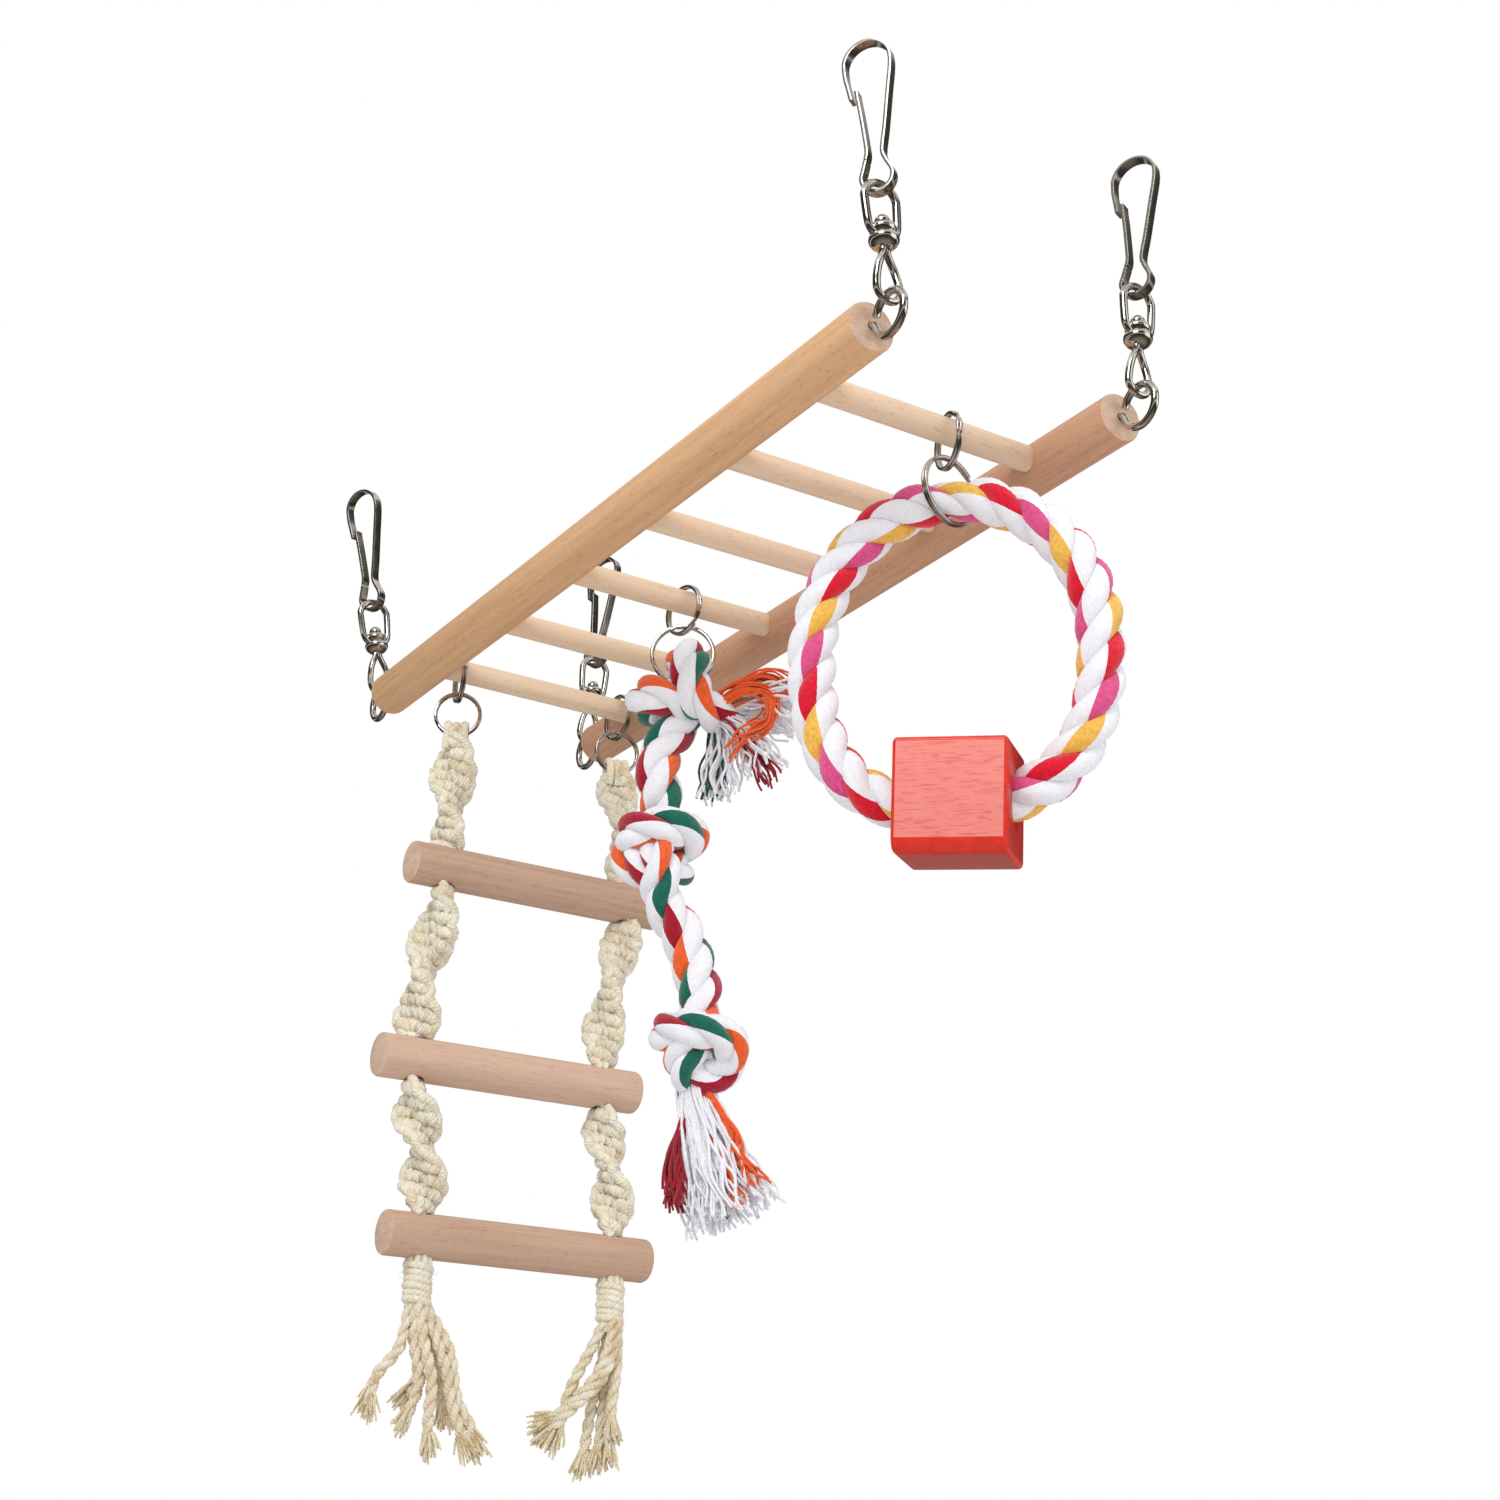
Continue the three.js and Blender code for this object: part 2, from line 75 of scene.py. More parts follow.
KNOT_PITCH, BAR_RADIUS, TWINE_TWIST = 4.1, 2.25, 0.9
# The drops at which each stretch of a side rope, a flat twisted band, shows the front its full width.
LOBES = {
    "left": ((34.5, 60.0), (87.0, 114.0), (143.0, 161.0)),
    "right": ((28.0, 54.0), (78.0, 107.0), (140.0, 160.0)),
}
BAND_HALF_WIDTH = {"left": 6.3, "right": 5.7}
BAND_FACING = -0.57
CORNERS = [  # name, side, end, outward lean and hook's turn in degrees
    ("front_left", -1, -1, 4.5, -57.0),
    ("front_right", 1, -1, 3.0, -68.0),
    ("rear_left", -1, 1, 9.5, -65.0),
    ("rear_right", 1, 1, 4.0, -68.0),
]
HOOP_X, HOOP_TURN, HOOP_HALF_WIDTH, HOOP_HALF_HEIGHT, HOOP_SQUARENESS = 7.0, -47.0, 35.7, 41.0, 2.5
HOOP_TOP_DROP = 19.6
HOOP_ROPE_RADIUS, HOOP_ROPE_SQUEEZE, SQUEEZE_REACH = 6.15, 1.35, 5.0
ROPE_LAY = 28.0
BLOCK_SIZE, BLOCK_EDGE, BLOCK_WORN_EDGE, BLOCK_BORE = 27.5, 1.1, 3.4, 6.4
BLOCK_NOD, BLOCK_SLOPE = 9.0, 4.0
CHEW_X, CHEW_TURN, CHEW_RADIUS = 4.0, -33.0, 6.2


def rung_y(index):
    return (index - (RUNG_COUNT - 1) / 2) * RUNG_PITCH


def below(x, y, drop):
    """A point at a drop below the rails' axes."""
    return np.array((x, y, -RAIL_DROP - drop))


HOOP_Y, CHEW_Y, LADDER_Y = rung_y(0), rung_y(3), rung_y(5)

# ---- camera ----
CAMERA_TARGET = Vector((21.7, 11.6, -118.8))
CAMERA_DISTANCE = 680.0
CAMERA_HEADING, CAMERA_PITCH, CAMERA_ROLL = 32.83, 21.71, 0.4
CAMERA_LENS = 56.7
FLOOR, FLOOR_SIZE = -450.0, 30.0  # the floor's height in millimetres, and its size in metres


def add_camera():
    heading, pitch = math.radians(CAMERA_HEADING), math.radians(CAMERA_PITCH)
    forward = Vector((
        math.sin(heading) * math.cos(pitch),
        math.cos(heading) * math.cos(pitch),
        math.sin(pitch),
    ))
    data = bpy.data.cameras.new("camera")
    data.lens = CAMERA_LENS
    data.sensor_width = 36.0
    data.clip_start, data.clip_end = 0.02, 20.0
    camera = bpy.data.objects.new("camera", data)
    bpy.context.collection.objects.link(camera)
    camera.location = (CAMERA_TARGET - forward * CAMERA_DISTANCE) * MM
    turn = forward.to_track_quat("-Z", "Y").to_matrix()
    roll = Matrix.Rotation(math.radians(CAMERA_ROLL), 3, "Z")
    camera.rotation_euler = (turn @ roll).to_euler()
    bpy.context.scene.camera = camera


# ---- mesh tools ----
def unit(vectors):
    vectors = np.asarray(vectors, float)
    return vectors / np.maximum(np.linalg.norm(vectors, axis=-1, keepdims=True), 1e-12)


def signed_power(value, power):
    return math.copysign(abs(value) ** power, value)


def smooth_share(share):
    """0 to 1 with soft starts and ends."""
    share = np.clip(share, 0, 1)
    return share * share * (3 - 2 * share)


def smooth_path(points, step):
    """Points at about `step` along a Catmull-Rom curve through the given points."""
    knots = np.asarray(points, float)
    around = np.vstack([2 * knots[0] - knots[1], knots, 2 * knots[-1] - knots[-2]])
    pieces = []
    shares = np.linspace(0, 1, 24, endpoint=False)[:, None]
    for i in range(len(around) - 3):
        a, b, c, d = around[i:i + 4]
        pieces.append(0.5 * (
            2 * b + (c - a) * shares
            + (2 * a - 5 * b + 4 * c - d) * shares ** 2
            + (3 * b - a - 3 * c + d) * shares ** 3))
    dense = np.vstack(pieces + [around[-2:-1]])
    return resample(dense, step)


def arc_length(points):
    return np.concatenate([[0.0], np.cumsum(np.linalg.norm(np.diff(points, axis=0), axis=1))])


def resample(points, step):
    along = arc_length(points)
    count = max(int(round(along[-1] / step)), 2)
    wanted = np.linspace(0, along[-1], count + 1)
    return np.column_stack([np.interp(wanted, along, points[:, k]) for k in range(3)])


def frames_along(points, start=(0.0, 0.0, 1.0)):
    """Tangents and two crossing normals at each point, turned as little as possible on the way."""
    tangents = unit(np.gradient(points, axis=0))
    normals = np.empty_like(points)
    guess = np.asarray(start, float)
    for i, tangent in enumerate(tangents):
        guess = guess - tangent * np.dot(guess, tangent)
        if np.linalg.norm(guess) < 1e-6:
            guess = np.cross(tangent, (0.31, 0.87, 0.39))
        guess = guess / np.linalg.norm(guess)
        normals[i] = guess
    return tangents, normals, np.cross(tangents, normals)


def round_section(radius, sides):
    angles = np.arange(sides) * 2 * math.pi / sides
    return np.column_stack([np.cos(angles), np.sin(angles)]) * radius


def tube_rings(points, section, scale=1.0, twist=0.0, start=(0, 0, 1)):
    """The section carried along the points as rings, scaled, and twisted in radians a millimetre."""
    _, first, second = frames_along(points, start)
    scale = np.broadcast_to(scale, len(points))
    turn = twist * arc_length(points)
    cosine, sine = np.cos(turn)[:, None], np.sin(turn)[:, None]
    x = section[None, :, 0] * cosine - section[None, :, 1] * sine
    y = section[None, :, 0] * sine + section[None, :, 1] * cosine
    offsets = x[..., None] * first[:, None, :] + y[..., None] * second[:, None, :]
    return points[:, None, :] + offsets * scale[:, None, None]


class Shape:
    """Collects vertices, faces, UVs and material numbers for one mesh."""

    def __init__(self):
        self.vertices, self.faces, self.uvs, self.slots = [], [], [], []
        self.count = 0

    def add_rings(self, rings, slot=0, u=None, v=None):
        """Skins rings of vertices. u is an angle in turns at each vertex, v a length at each ring."""
        steps, sides = rings.shape[:2]
        u = np.broadcast_to(np.arange(sides) / sides, (steps, sides)) if u is None else u
        v = arc_length(rings[:, 0]) if v is None else v
        faces = []
        for i in range(steps - 1):
            for k in range(sides):
                m = (k + 1) % sides
                corners = [(i, k), (i, m), (i + 1, m), (i + 1, k)]
                faces.append([a * sides + b for a, b in corners])
                base = u[i, k]
                around = [base + (u[a, b] - base + 0.5) % 1.0 - 0.5 for a, b in corners]
                self.uvs.append(list(zip(around, (v[i], v[i], v[i + 1], v[i + 1]))))
        faces.append(list(range(sides))[::-1])
        faces.append([(steps - 1) * sides + k for k in range(sides)])
        self.uvs.append([(u[0, k], v[0]) for k in reversed(range(sides))])
        self.uvs.append([(u[-1, k], v[-1]) for k in range(sides)])
        self.faces += [[index + self.count for index in face] for face in faces]
        self.slots += [slot] * len(faces)
        self.vertices.append(rings.reshape(-1, 3))
        self.count += steps * sides

    def add_tube(self, points, radius, sides, twist=0.0, slot=0, start=(0, 0, 1)):
        """A round tube; radius is one number, or one for each point."""
        self.add_rings(tube_rings(points, round_section(1.0, sides), radius, twist, start), slot)

    def add_twine(self, points, radius, sides=9):
        self.add_tube(points, radius, sides, TWINE_TWIST)

    def build(self, name, materials, smooth=35.0):
        mesh = bpy.data.meshes.new(name)
        vertices = np.vstack(self.vertices) * MM
        mesh.from_pydata(vertices.tolist(), [], self.faces)
        layer = mesh.uv_layers.new(name="route")
        layer.data.foreach_set("uv", [c for face in self.uvs for corner in face for c in corner])
        mesh.polygons.foreach_set("material_index", self.slots)
        for material in materials:
            mesh.materials.append(material)
        mesh.shade_smooth()
        mesh.set_sharp_from_angle(angle=math.radians(smooth))
        mesh.update()
        piece = bpy.data.objects.new(name, mesh)
        bpy.context.collection.objects.link(piece)
        return piece


def place(piece, body, slot, *nodes):
    """The piece rides on a body and stands for the CAD nodes; slot is not used."""
    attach(piece, body)
    if nodes:
        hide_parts(*nodes)
    return piece


def add_piece(node_name, kind, ring_sets, material, body, slot, smooth=35.0):
    """A piece of one material that stands for one CAD node and is named after it."""
    shape = Shape()
    for rings in ring_sets:
        shape.add_rings(rings)
    place(shape.build(f"{node_name}_{kind}", [material], smooth), body, slot, node_name)


def moved(rings, matrix):
    flat = rings.reshape(-1, 3)
    array = np.array(matrix)
    return (flat @ array[:3, :3].T + array[:3, 3]).reshape(rings.shape)


# ---- material tools ----
def new_material(name):
    material = bpy.data.materials.new(name)
    material.use_nodes = True
    return material, material.node_tree, material.node_tree.nodes["Principled BSDF"]


def node(tree, kind, **values):
    made = tree.nodes.new(kind)
    for key, value in values.items():
        if key in made.inputs:
            made.inputs[key].default_value = value
        else:
            setattr(made, key, value)
    return made


def ramp(tree, source, stops):
    made = tree.nodes.new("ShaderNodeValToRGB")
    elements = made.color_ramp.elements
    while len(elements) < len(stops):
        elements.new(0.5)
    for element, (position, color) in zip(elements, stops):
        element.position = position
        element.color = (*color, 1.0)
    tree.links.new(source, made.inputs["Fac"])
    return made.outputs["Color"]


def mix(tree, factor, first, second, blend="MIX"):
    made = tree.nodes.new("ShaderNodeMix")
    made.data_type = "RGBA"
    made.blend_type = blend
    for socket, value in ((made.inputs[0], factor), (made.inputs[6], first), (made.inputs[7], second)):
        if isinstance(value, bpy.types.NodeSocket):
            tree.links.new(value, socket)
        elif isinstance(value, (int, float)):
            socket.default_value = value
        else:
            socket.default_value = (*value, 1.0)
    return made.outputs[2]


def math_node(tree, operation, *values):
    made = tree.nodes.new("ShaderNodeMath")
    made.operation = operation
    for socket, value in zip(made.inputs, values):
        if isinstance(value, bpy.types.NodeSocket):
            tree.links.new(value, socket)
        else:
            socket.default_value = value
    return made.outputs[0]


def paint(tree, shader, color, roughness):
    tree.links.new(color, shader.inputs["Base Color"])
    shader.inputs["Roughness"].default_value = roughness


def bump(tree, shader, height, strength, distance_mm):
    made = node(tree, "ShaderNodeBump", Strength=strength, Distance=distance_mm * MM)
    tree.links.new(height, made.inputs["Height"])
    tree.links.new(made.outputs["Normal"], shader.inputs["Normal"])


def noise(tree, scale, detail=3.0, roughness=0.55, distortion=0.0, location=(0, 0, 0)):
    """Noise over the object's own coordinates; scale is one number, or one for each axis."""
    source = tree.nodes.new("ShaderNodeTexCoord")
    scales = (scale,) * 3 if isinstance(scale, (int, float)) else scale
    mapping = node(tree, "ShaderNodeMapping", Scale=scales, Location=location)
    tree.links.new(source.outputs["Object"], mapping.inputs["Vector"])
    made = node(
        tree, "ShaderNodeTexNoise", Scale=1.0, Detail=detail, Roughness=roughness, Distortion=distortion)
    tree.links.new(mapping.outputs["Vector"], made.inputs["Vector"])
    return made.outputs["Fac"]


def srgb(red, green, blue):
    def linear(value):
        value = value / 255
        return value / 12.92 if value <= 0.04045 else ((value + 0.055) / 1.055) ** 2.4
    return tuple(linear(value) for value in (red, green, blue))


def shaded(color, factor):
    return tuple(min(1.0, value * factor) for value in color)


def between(first, second, share=0.5):
    return tuple(a + (b - a) * share for a, b in zip(first, second))


# ---- materials ----
def wood(name, light, dark, grain_axis, seed, streak=0.5):
    """Sanded dowel: long fibres and short pores along grain_axis."""
    material, tree, shader = new_material(name)
    offset = (seed * 1.7, seed * 2.3, seed * 0.9)

    def along_grain(across, along, *settings):
        scale = [across] * 3
        scale[grain_axis] = along
        return noise(tree, scale, *settings, location=offset)

    broad = along_grain(112.0, 4.16, 4.0)
    fine = along_grain(700.0, 26.0, 4.0, 0.6, 0.2)
    flecks = along_grain(1500.0, 330.0, 2.0)
    base = ramp(tree, broad, [(0.3, dark), (0.5, between(light, dark)), (0.7, light)])
    lined = mix(tree, streak, base, ramp(tree, fine, [(0.35, dark), (0.62, light)]))
    fleck_mask = ramp(tree, flecks, [(0.30, (0.70, 0.62, 0.56)), (0.42, (1, 1, 1))])
    color = mix(tree, 0.45, lined, fleck_mask, "MULTIPLY")
    paint(tree, shader, color, 0.58)
    shader.inputs["Specular IOR Level"].default_value = 0.3
    bump(tree, shader, fine, 0.25, 0.12)
    return material


def end_grain(name, light, dark):
    """Sawn dowel end: fine rings and pores."""
    material, tree, shader = new_material(name)
    pores = noise(tree, 1400)
    bands = noise(tree, (160, 160, 420), 2.0, 0.5, 0.6)
    speckled = ramp(tree, pores, [(0.3, dark), (0.6, light)])
    color = mix(tree, 0.45, ramp(tree, bands, [(0.35, dark), (0.6, light)]), speckled)
    paint(tree, shader, color, 0.75)
    bump(tree, shader, pores, 0.3, 0.1)
    return material


def nickel(name, tint, roughness):
    """Plated metal with faint smudges."""
    material, tree, shader = new_material(name)
    smudge = noise(tree, 260)
    paint(tree, shader, ramp(tree, smudge, [(0.35, shaded(tint, 0.86)), (0.65, tint)]), roughness)
    gloss = math_node(tree, "MULTIPLY_ADD", smudge, 0.12, roughness - 0.04)
    tree.links.new(gloss, shader.inputs["Roughness"])
    shader.inputs["Metallic"].default_value = 1.0
    return material


def route_uv(tree):
    """Turns round the piece, and millimetres along it."""
    made = node(tree, "ShaderNodeUVMap", uv_map="route")
    split = tree.nodes.new("ShaderNodeSeparateXYZ")
    tree.links.new(made.outputs["UV"], split.inputs["Vector"])
    return split.outputs["X"], split.outputs["Y"]


def soft_fibre(tree, shader, color, roughness):
    paint(tree, shader, color, roughness)
    shader.inputs["Specular IOR Level"].default_value = 0.12
    shader.inputs["Sheen Weight"].default_value = 0.35
    shader.inputs["Sheen Roughness"].default_value = 0.5


def cotton_strand(name, dyed):
    """A laid strand: white yarns, and dyed ones in three sectors of the whole rope."""
    white, sectors, yarns, drift, threshold = srgb(246, 246, 250), 3, 74, -0.004, 0.44
    material, tree, shader = new_material(name)
    around, along = route_uv(tree)
    sector_turns = math_node(tree, "MULTIPLY_ADD", along, drift, around)
    facing = math_node(tree, "COSINE", math_node(tree, "MULTIPLY", sector_turns, sectors * 2 * math.pi))
    fuzzy = noise(tree, 900, 2.0)
    mask = math_node(tree, "GREATER_THAN", math_node(tree, "MULTIPLY_ADD", fuzzy, 0.16, facing), threshold)
    mottled = ramp(tree, fuzzy, [(0.3, shaded(dyed, 0.8)), (0.7, shaded(dyed, 1.12))])
    pale = ramp(tree, fuzzy, [(0.3, shaded(white, 0.93)), (0.6, white)])
    yarn_turns = math_node(tree, "MULTIPLY", around, 2 * math.pi * yarns)
    ribs = math_node(tree, "SINE", math_node(tree, "MULTIPLY_ADD", noise(tree, 420), 1.4, yarn_turns))
    height = math_node(tree, "MULTIPLY_ADD", fuzzy, 1.6, math_node(tree, "MULTIPLY", ribs, 0.5))
    bump(tree, shader, height, 0.5, 0.16)
    soft_fibre(tree, shader, mix(tree, mask, pale, mottled), 0.92)
    return material


def yarn(name, color):
    material, tree, shader = new_material(name)
    fuzzy = noise(tree, 1300, 2.0)
    bump(tree, shader, fuzzy, 0.4, 0.08)
    soft_fibre(tree, shader, ramp(tree, fuzzy, [(0.3, shaded(color, 0.82)), (0.65, color)]), 0.9)
    return material


def bast_twine(name, dark, middle, light):
    """Natural knotting twine: twisted fibres, slightly translucent, with painted shade in the creases
    between fibres.
    """
    material, tree, shader = new_material(name)
    around, along = route_uv(tree)
    patches = noise(tree, 230, 4.0)
    ply_turns = math_node(tree, "MULTIPLY", around, 2 * math.pi * 3)
    fibre_turns = math_node(tree, "MULTIPLY_ADD", along, 5.2, ply_turns)
    grit = noise(tree, 1500)
    twisted = math_node(tree, "SINE", math_node(tree, "MULTIPLY_ADD", grit, 2.2, fibre_turns))
    cream = ramp(tree, patches, [(0.28, dark), (0.45, middle), (0.7, light)])
    # painted shade: the colour is multiplied darker and tan in the creases between the twisted fibres
    crease_shade_mask = math_node(tree, "MULTIPLY_ADD", twisted, 0.25, grit)
    painted_crease_shade = ramp(tree, crease_shade_mask, [(0.15, (0.86, 0.81, 0.72)), (0.5, (1, 1, 1))])
    bump(tree, shader, math_node(tree, "MULTIPLY_ADD", grit, 0.8, twisted), 0.6, 0.2)
    soft_fibre(tree, shader, mix(tree, 0.7, cream, painted_crease_shade, "MULTIPLY"), 0.8)
    shader.inputs["Subsurface Weight"].default_value = 0.12
    shader.inputs["Subsurface Radius"].default_value = (0.002, 0.0015, 0.0008)
    shader.inputs["Subsurface Scale"].default_value = 0.6
    return material


def painted_face(name, thin, thick):
    """Red stain on planed wood: pale where the fibres show, with short dark grain dashes along X. Given
    darker colours, it also stands for painted shade on the block's underside.
    """
    material, tree, shader = new_material(name)
    dashes = noise(tree, (240, 2300, 2300), 3.0, 0.6)
    clouds = noise(tree, 90)
    base = ramp(tree, clouds, [(0.3, between(thin, thick, 0.15)), (0.7, thin)])
    grain = ramp(tree, dashes, [(0.36, thick), (0.5, thin)])
    paint(tree, shader, mix(tree, 0.42, base, grain), 0.5)
    bump(tree, shader, dashes, 0.3, 0.12)
    return material


def painted_edge(name, color):
    material, tree, shader = new_material(name)
    clouds = noise(tree, 320)
    paint(tree, shader, ramp(tree, clouds, [(0.3, shaded(color, 0.78)), (0.65, color)]), 0.38)
    bump(tree, shader, clouds, 0.15, 0.15)
    return material


# The light and dark colours of each dowel's wood.
RAIL_WOOD = {
    "left": (srgb(228, 183, 139), srgb(206, 159, 114)),
    "right": (srgb(210, 163, 130), srgb(188, 140, 110)),
}
PALE_LIGHT, PALE_DARK = srgb(236, 210, 182), srgb(222, 192, 160)
LADDER_WOOD = [
    (srgb(204, 172, 150), srgb(180, 144, 119)),
    (srgb(218, 186, 163), srgb(201, 166, 141)),
    (srgb(206, 173, 150), srgb(189, 152, 127)),
]
BRIGHT_NICKEL = nickel("bright_nickel", (0.62, 0.59, 0.54), 0.13)
SPRING_NICKEL = nickel("spring_nickel", (0.50, 0.47, 0.43), 0.20)
RING_NICKEL = nickel("ring_nickel", (0.62, 0.59, 0.55), 0.15)
END_GRAIN = end_grain("dowel_end", srgb(216, 186, 160), srgb(194, 158, 132))
TWINE = bast_twine("bast_twine", srgb(232, 212, 172), srgb(249, 238, 212), srgb(255, 250, 234))
TASSEL_TWINE = bast_twine("tassel_twine", srgb(216, 192, 150), srgb(238, 222, 190), srgb(250, 242, 222))
TWINE_ENDS = bast_twine("twine_ends", srgb(212, 182, 134), srgb(238, 220, 182), srgb(250, 240, 216))
HOOP_STRANDS = [
    cotton_strand("hoop_red", srgb(226, 22, 48)),
    cotton_strand("hoop_pink", srgb(226, 84, 142)),
    cotton_strand("hoop_yellow", srgb(247, 190, 84)),
]
CHEW_STRANDS = [
    cotton_strand("chew_crimson", srgb(172, 20, 44)),
    cotton_strand("chew_green", srgb(24, 106, 88)),
    cotton_strand("chew_orange", srgb(243, 100, 42)),
]
YARN_WHITE = yarn("yarn_white", srgb(244, 244, 248))
YARN_ORANGE = yarn("yarn_orange", srgb(243, 98, 40))
YARN_CRIMSON = yarn("yarn_crimson", srgb(160, 20, 42))
YARN_GREEN = yarn("yarn_green", srgb(22, 88, 76))


# ---- laid rope ----
# A strand's radius as a share of the rope's, and how much wider it is across: squeezed by its neighbours.
STRAND_SHARE, STRAND_WIDENING = 0.475, 1.08


def laid_rope(name, path, radius, materials, start):
    """Three strands laid round the path. radius is the rope's outer radius at each path point."""
    _, first, second = frames_along(path, start)
    along = arc_length(path)
    strand_radius = radius * STRAND_SHARE
    section = round_section(1.0, 14) * (1, STRAND_WIDENING)
    shape = Shape()
    for k in range(3):
        angle = 2 * math.pi * (along / ROPE_LAY + k / 3)
        outward = first * np.cos(angle)[:, None] + second * np.sin(angle)[:, None]
        centres = path + outward * (radius - strand_radius)[:, None]
        across = unit(np.cross(unit(np.gradient(centres, axis=0)), outward))
        lift = np.cross(across, unit(np.gradient(centres, axis=0)))
        offsets = section[None, :, 0, None] * lift[:, None] + section[None, :, 1, None] * across[:, None]
        rings = centres[:, None] + offsets * strand_radius[:, None, None]
        from_axis = rings - path[:, None]
        u = np.arctan2(
            np.einsum("ijk,ik->ij", from_axis, second),
            np.einsum("ijk,ik->ij", from_axis, first)) / (2 * math.pi)
        shape.add_rings(rings, slot=k, u=u, v=along)
    return shape.build(name, materials)


# ---- the hoop ----
def hoop_point(angle):
    power = 2 / HOOP_SQUARENESS if math.sin(angle) < 0 else 1.0
    x, z = signed_power(math.cos(angle), power), signed_power(math.sin(angle), power)
    return HOOP_HALF_WIDTH * x, 0.0, HOOP_HALF_HEIGHT * z


def hoop_matrix():
    middle = Matrix.Translation(below(HOOP_X, HOOP_Y, HOOP_TOP_DROP + HOOP_HALF_HEIGHT))
    return middle @ Matrix.Rotation(math.radians(HOOP_TURN), 4, "Z")


def add_hoop():
    gap = 0.06  # between the rope's ends, as an angle inside the block
    angles = np.linspace(gap - math.pi / 2, 1.5 * math.pi - gap, 41)
    local = np.array([hoop_point(angle) for angle in angles])
    path = smooth_path(moved(local, hoop_matrix()), 0.7)
    top = int(np.argmax(path[:, 2]))
    along = arc_length(path)
    from_ring = (along - along[top]) / SQUEEZE_REACH
    radius = HOOP_ROPE_RADIUS - HOOP_ROPE_SQUEEZE * np.exp(-from_ring ** 2)
    rope = laid_rope("hoop_rope_strands", path, radius, HOOP_STRANDS, start=(0, 0, -1))
    place(rope, "hoop", "hoop_cotton", "hoop_rope")
    add_block()


def block_section(inset):
    """The block's outline in its YZ plane: a rounded square with its front lower edge planed further."""
    half = BLOCK_SIZE / 2 - inset
    points = []
    for quadrant, (side_y, side_z) in enumerate(((1, 1), (-1, 1), (-1, -1), (1, -1))):
        radius = (BLOCK_WORN_EDGE if quadrant == 2 else BLOCK_EDGE) - inset * 0.5
        for step in range(6):
            angle = (quadrant + step / 5) * math.pi / 2
            y = side_y * (half - radius) + radius * math.cos(angle)
            z = side_z * (half - radius) + radius * math.sin(angle)
            points.append((y, z))
    return points


def add_block():
    """A cube with broken edges and a bore along its X, in its own object so that the grain follows it."""
    half = BLOCK_SIZE / 2
    stations = [(-half, 0.9), (0.3 - half, 0.35), (0.9 - half, 0.0)]
    stations += [(-x, inset) for x, inset in reversed(stations)]
    shape = Shape()
    shape.add_rings(np.array([[(x, y, z) for y, z in block_section(inset)] for x, inset in stations]))
    block = shape.build("hoop_block_painted", [])
    drill(block, [(BLOCK_BORE, (-half - 2, 0, 0), (half + 2, 0, 0))])
    for material in (
        painted_face("stained_face", srgb(243, 140, 128), srgb(210, 70, 58)),
        painted_edge("painted_edge", srgb(236, 42, 18)),
        painted_edge("painted_end", srgb(214, 44, 24)),
        # painted shade: the underside is given darker reds than the faces above it
        painted_face("painted_shade_underside", srgb(196, 82, 72), srgb(158, 40, 34)),
    ):
        block.data.materials.append(material)
    for face in block.data.polygons:
        flat = max(map(abs, face.normal)) > 0.995 and max(map(abs, face.center)) > (half - 0.5) * MM
        end, underside = abs(face.normal.x) > 0.9, face.normal.z < -0.9
        face.material_index = (2 if end else 3 if underside else 0) if flat else 1
    lift = Matrix.Translation((0, 0, (0.8 - HOOP_HALF_HEIGHT) * MM))
    matrix = hoop_matrix()
    matrix.translation *= MM
    slope = Matrix.Rotation(math.radians(BLOCK_SLOPE), 4, "Y")
    nod = Matrix.Rotation(math.radians(BLOCK_NOD), 4, "X")
    block.matrix_world = matrix @ lift @ slope @ nod
    place(block, "hoop", "red_block", "hoop_block")


def apply_modifiers(piece):
    graph = bpy.context.evaluated_depsgraph_get()
    mesh = bpy.data.meshes.new_from_object(piece.evaluated_get(graph))
    piece.modifiers.clear()
    piece.data = mesh


# ---- wooden parts ----
def dowel(node_name, length, radius, chamfer, axis, centre, bark, sides=72):
    """A round bar with broken edges and sawn ends."""
    half = length / 2
    edge = [(0.0, radius - chamfer), (chamfer * 0.3, radius - chamfer * 0.3), (chamfer, radius)]
    stations = [(x - half, r) for x, r in edge] + [(half - x, r) for x, r in reversed(edge)]
    rings = np.array([[(x, *point) for point in round_section(r, sides)] for x, r in stations])
    if axis == "Y":
        rings = rings[..., [1, 0, 2]] * (-1, 1, 1)
    shape = Shape()
    shape.add_rings(rings + centre)
    piece = shape.build(f"{node_name}_dowel", [bark, END_GRAIN])
    for face in piece.data.polygons:
        if abs(face.normal["XYZ".index(axis)]) > 0.9:
            face.material_index = 1
    return piece


def drill(piece, holes):
    """Cuts round holes: each is a radius, a start point and an end point."""
    drills = []
    for radius, start, end in holes:
        shape = Shape()
        shape.add_tube(np.array([start, end], float), radius, 40, start=(0.2, 0.9, 0.3))
        tool = shape.build("drill", [])
        cut = piece.modifiers.new("hole", "BOOLEAN")
        cut.object, cut.solver = tool, "EXACT"
        drills.append(tool)
    apply_modifiers(piece)
    for tool in drills:
        bpy.data.objects.remove(tool)
    piece.data.shade_smooth()
    piece.data.set_sharp_from_angle(angle=math.radians(30))


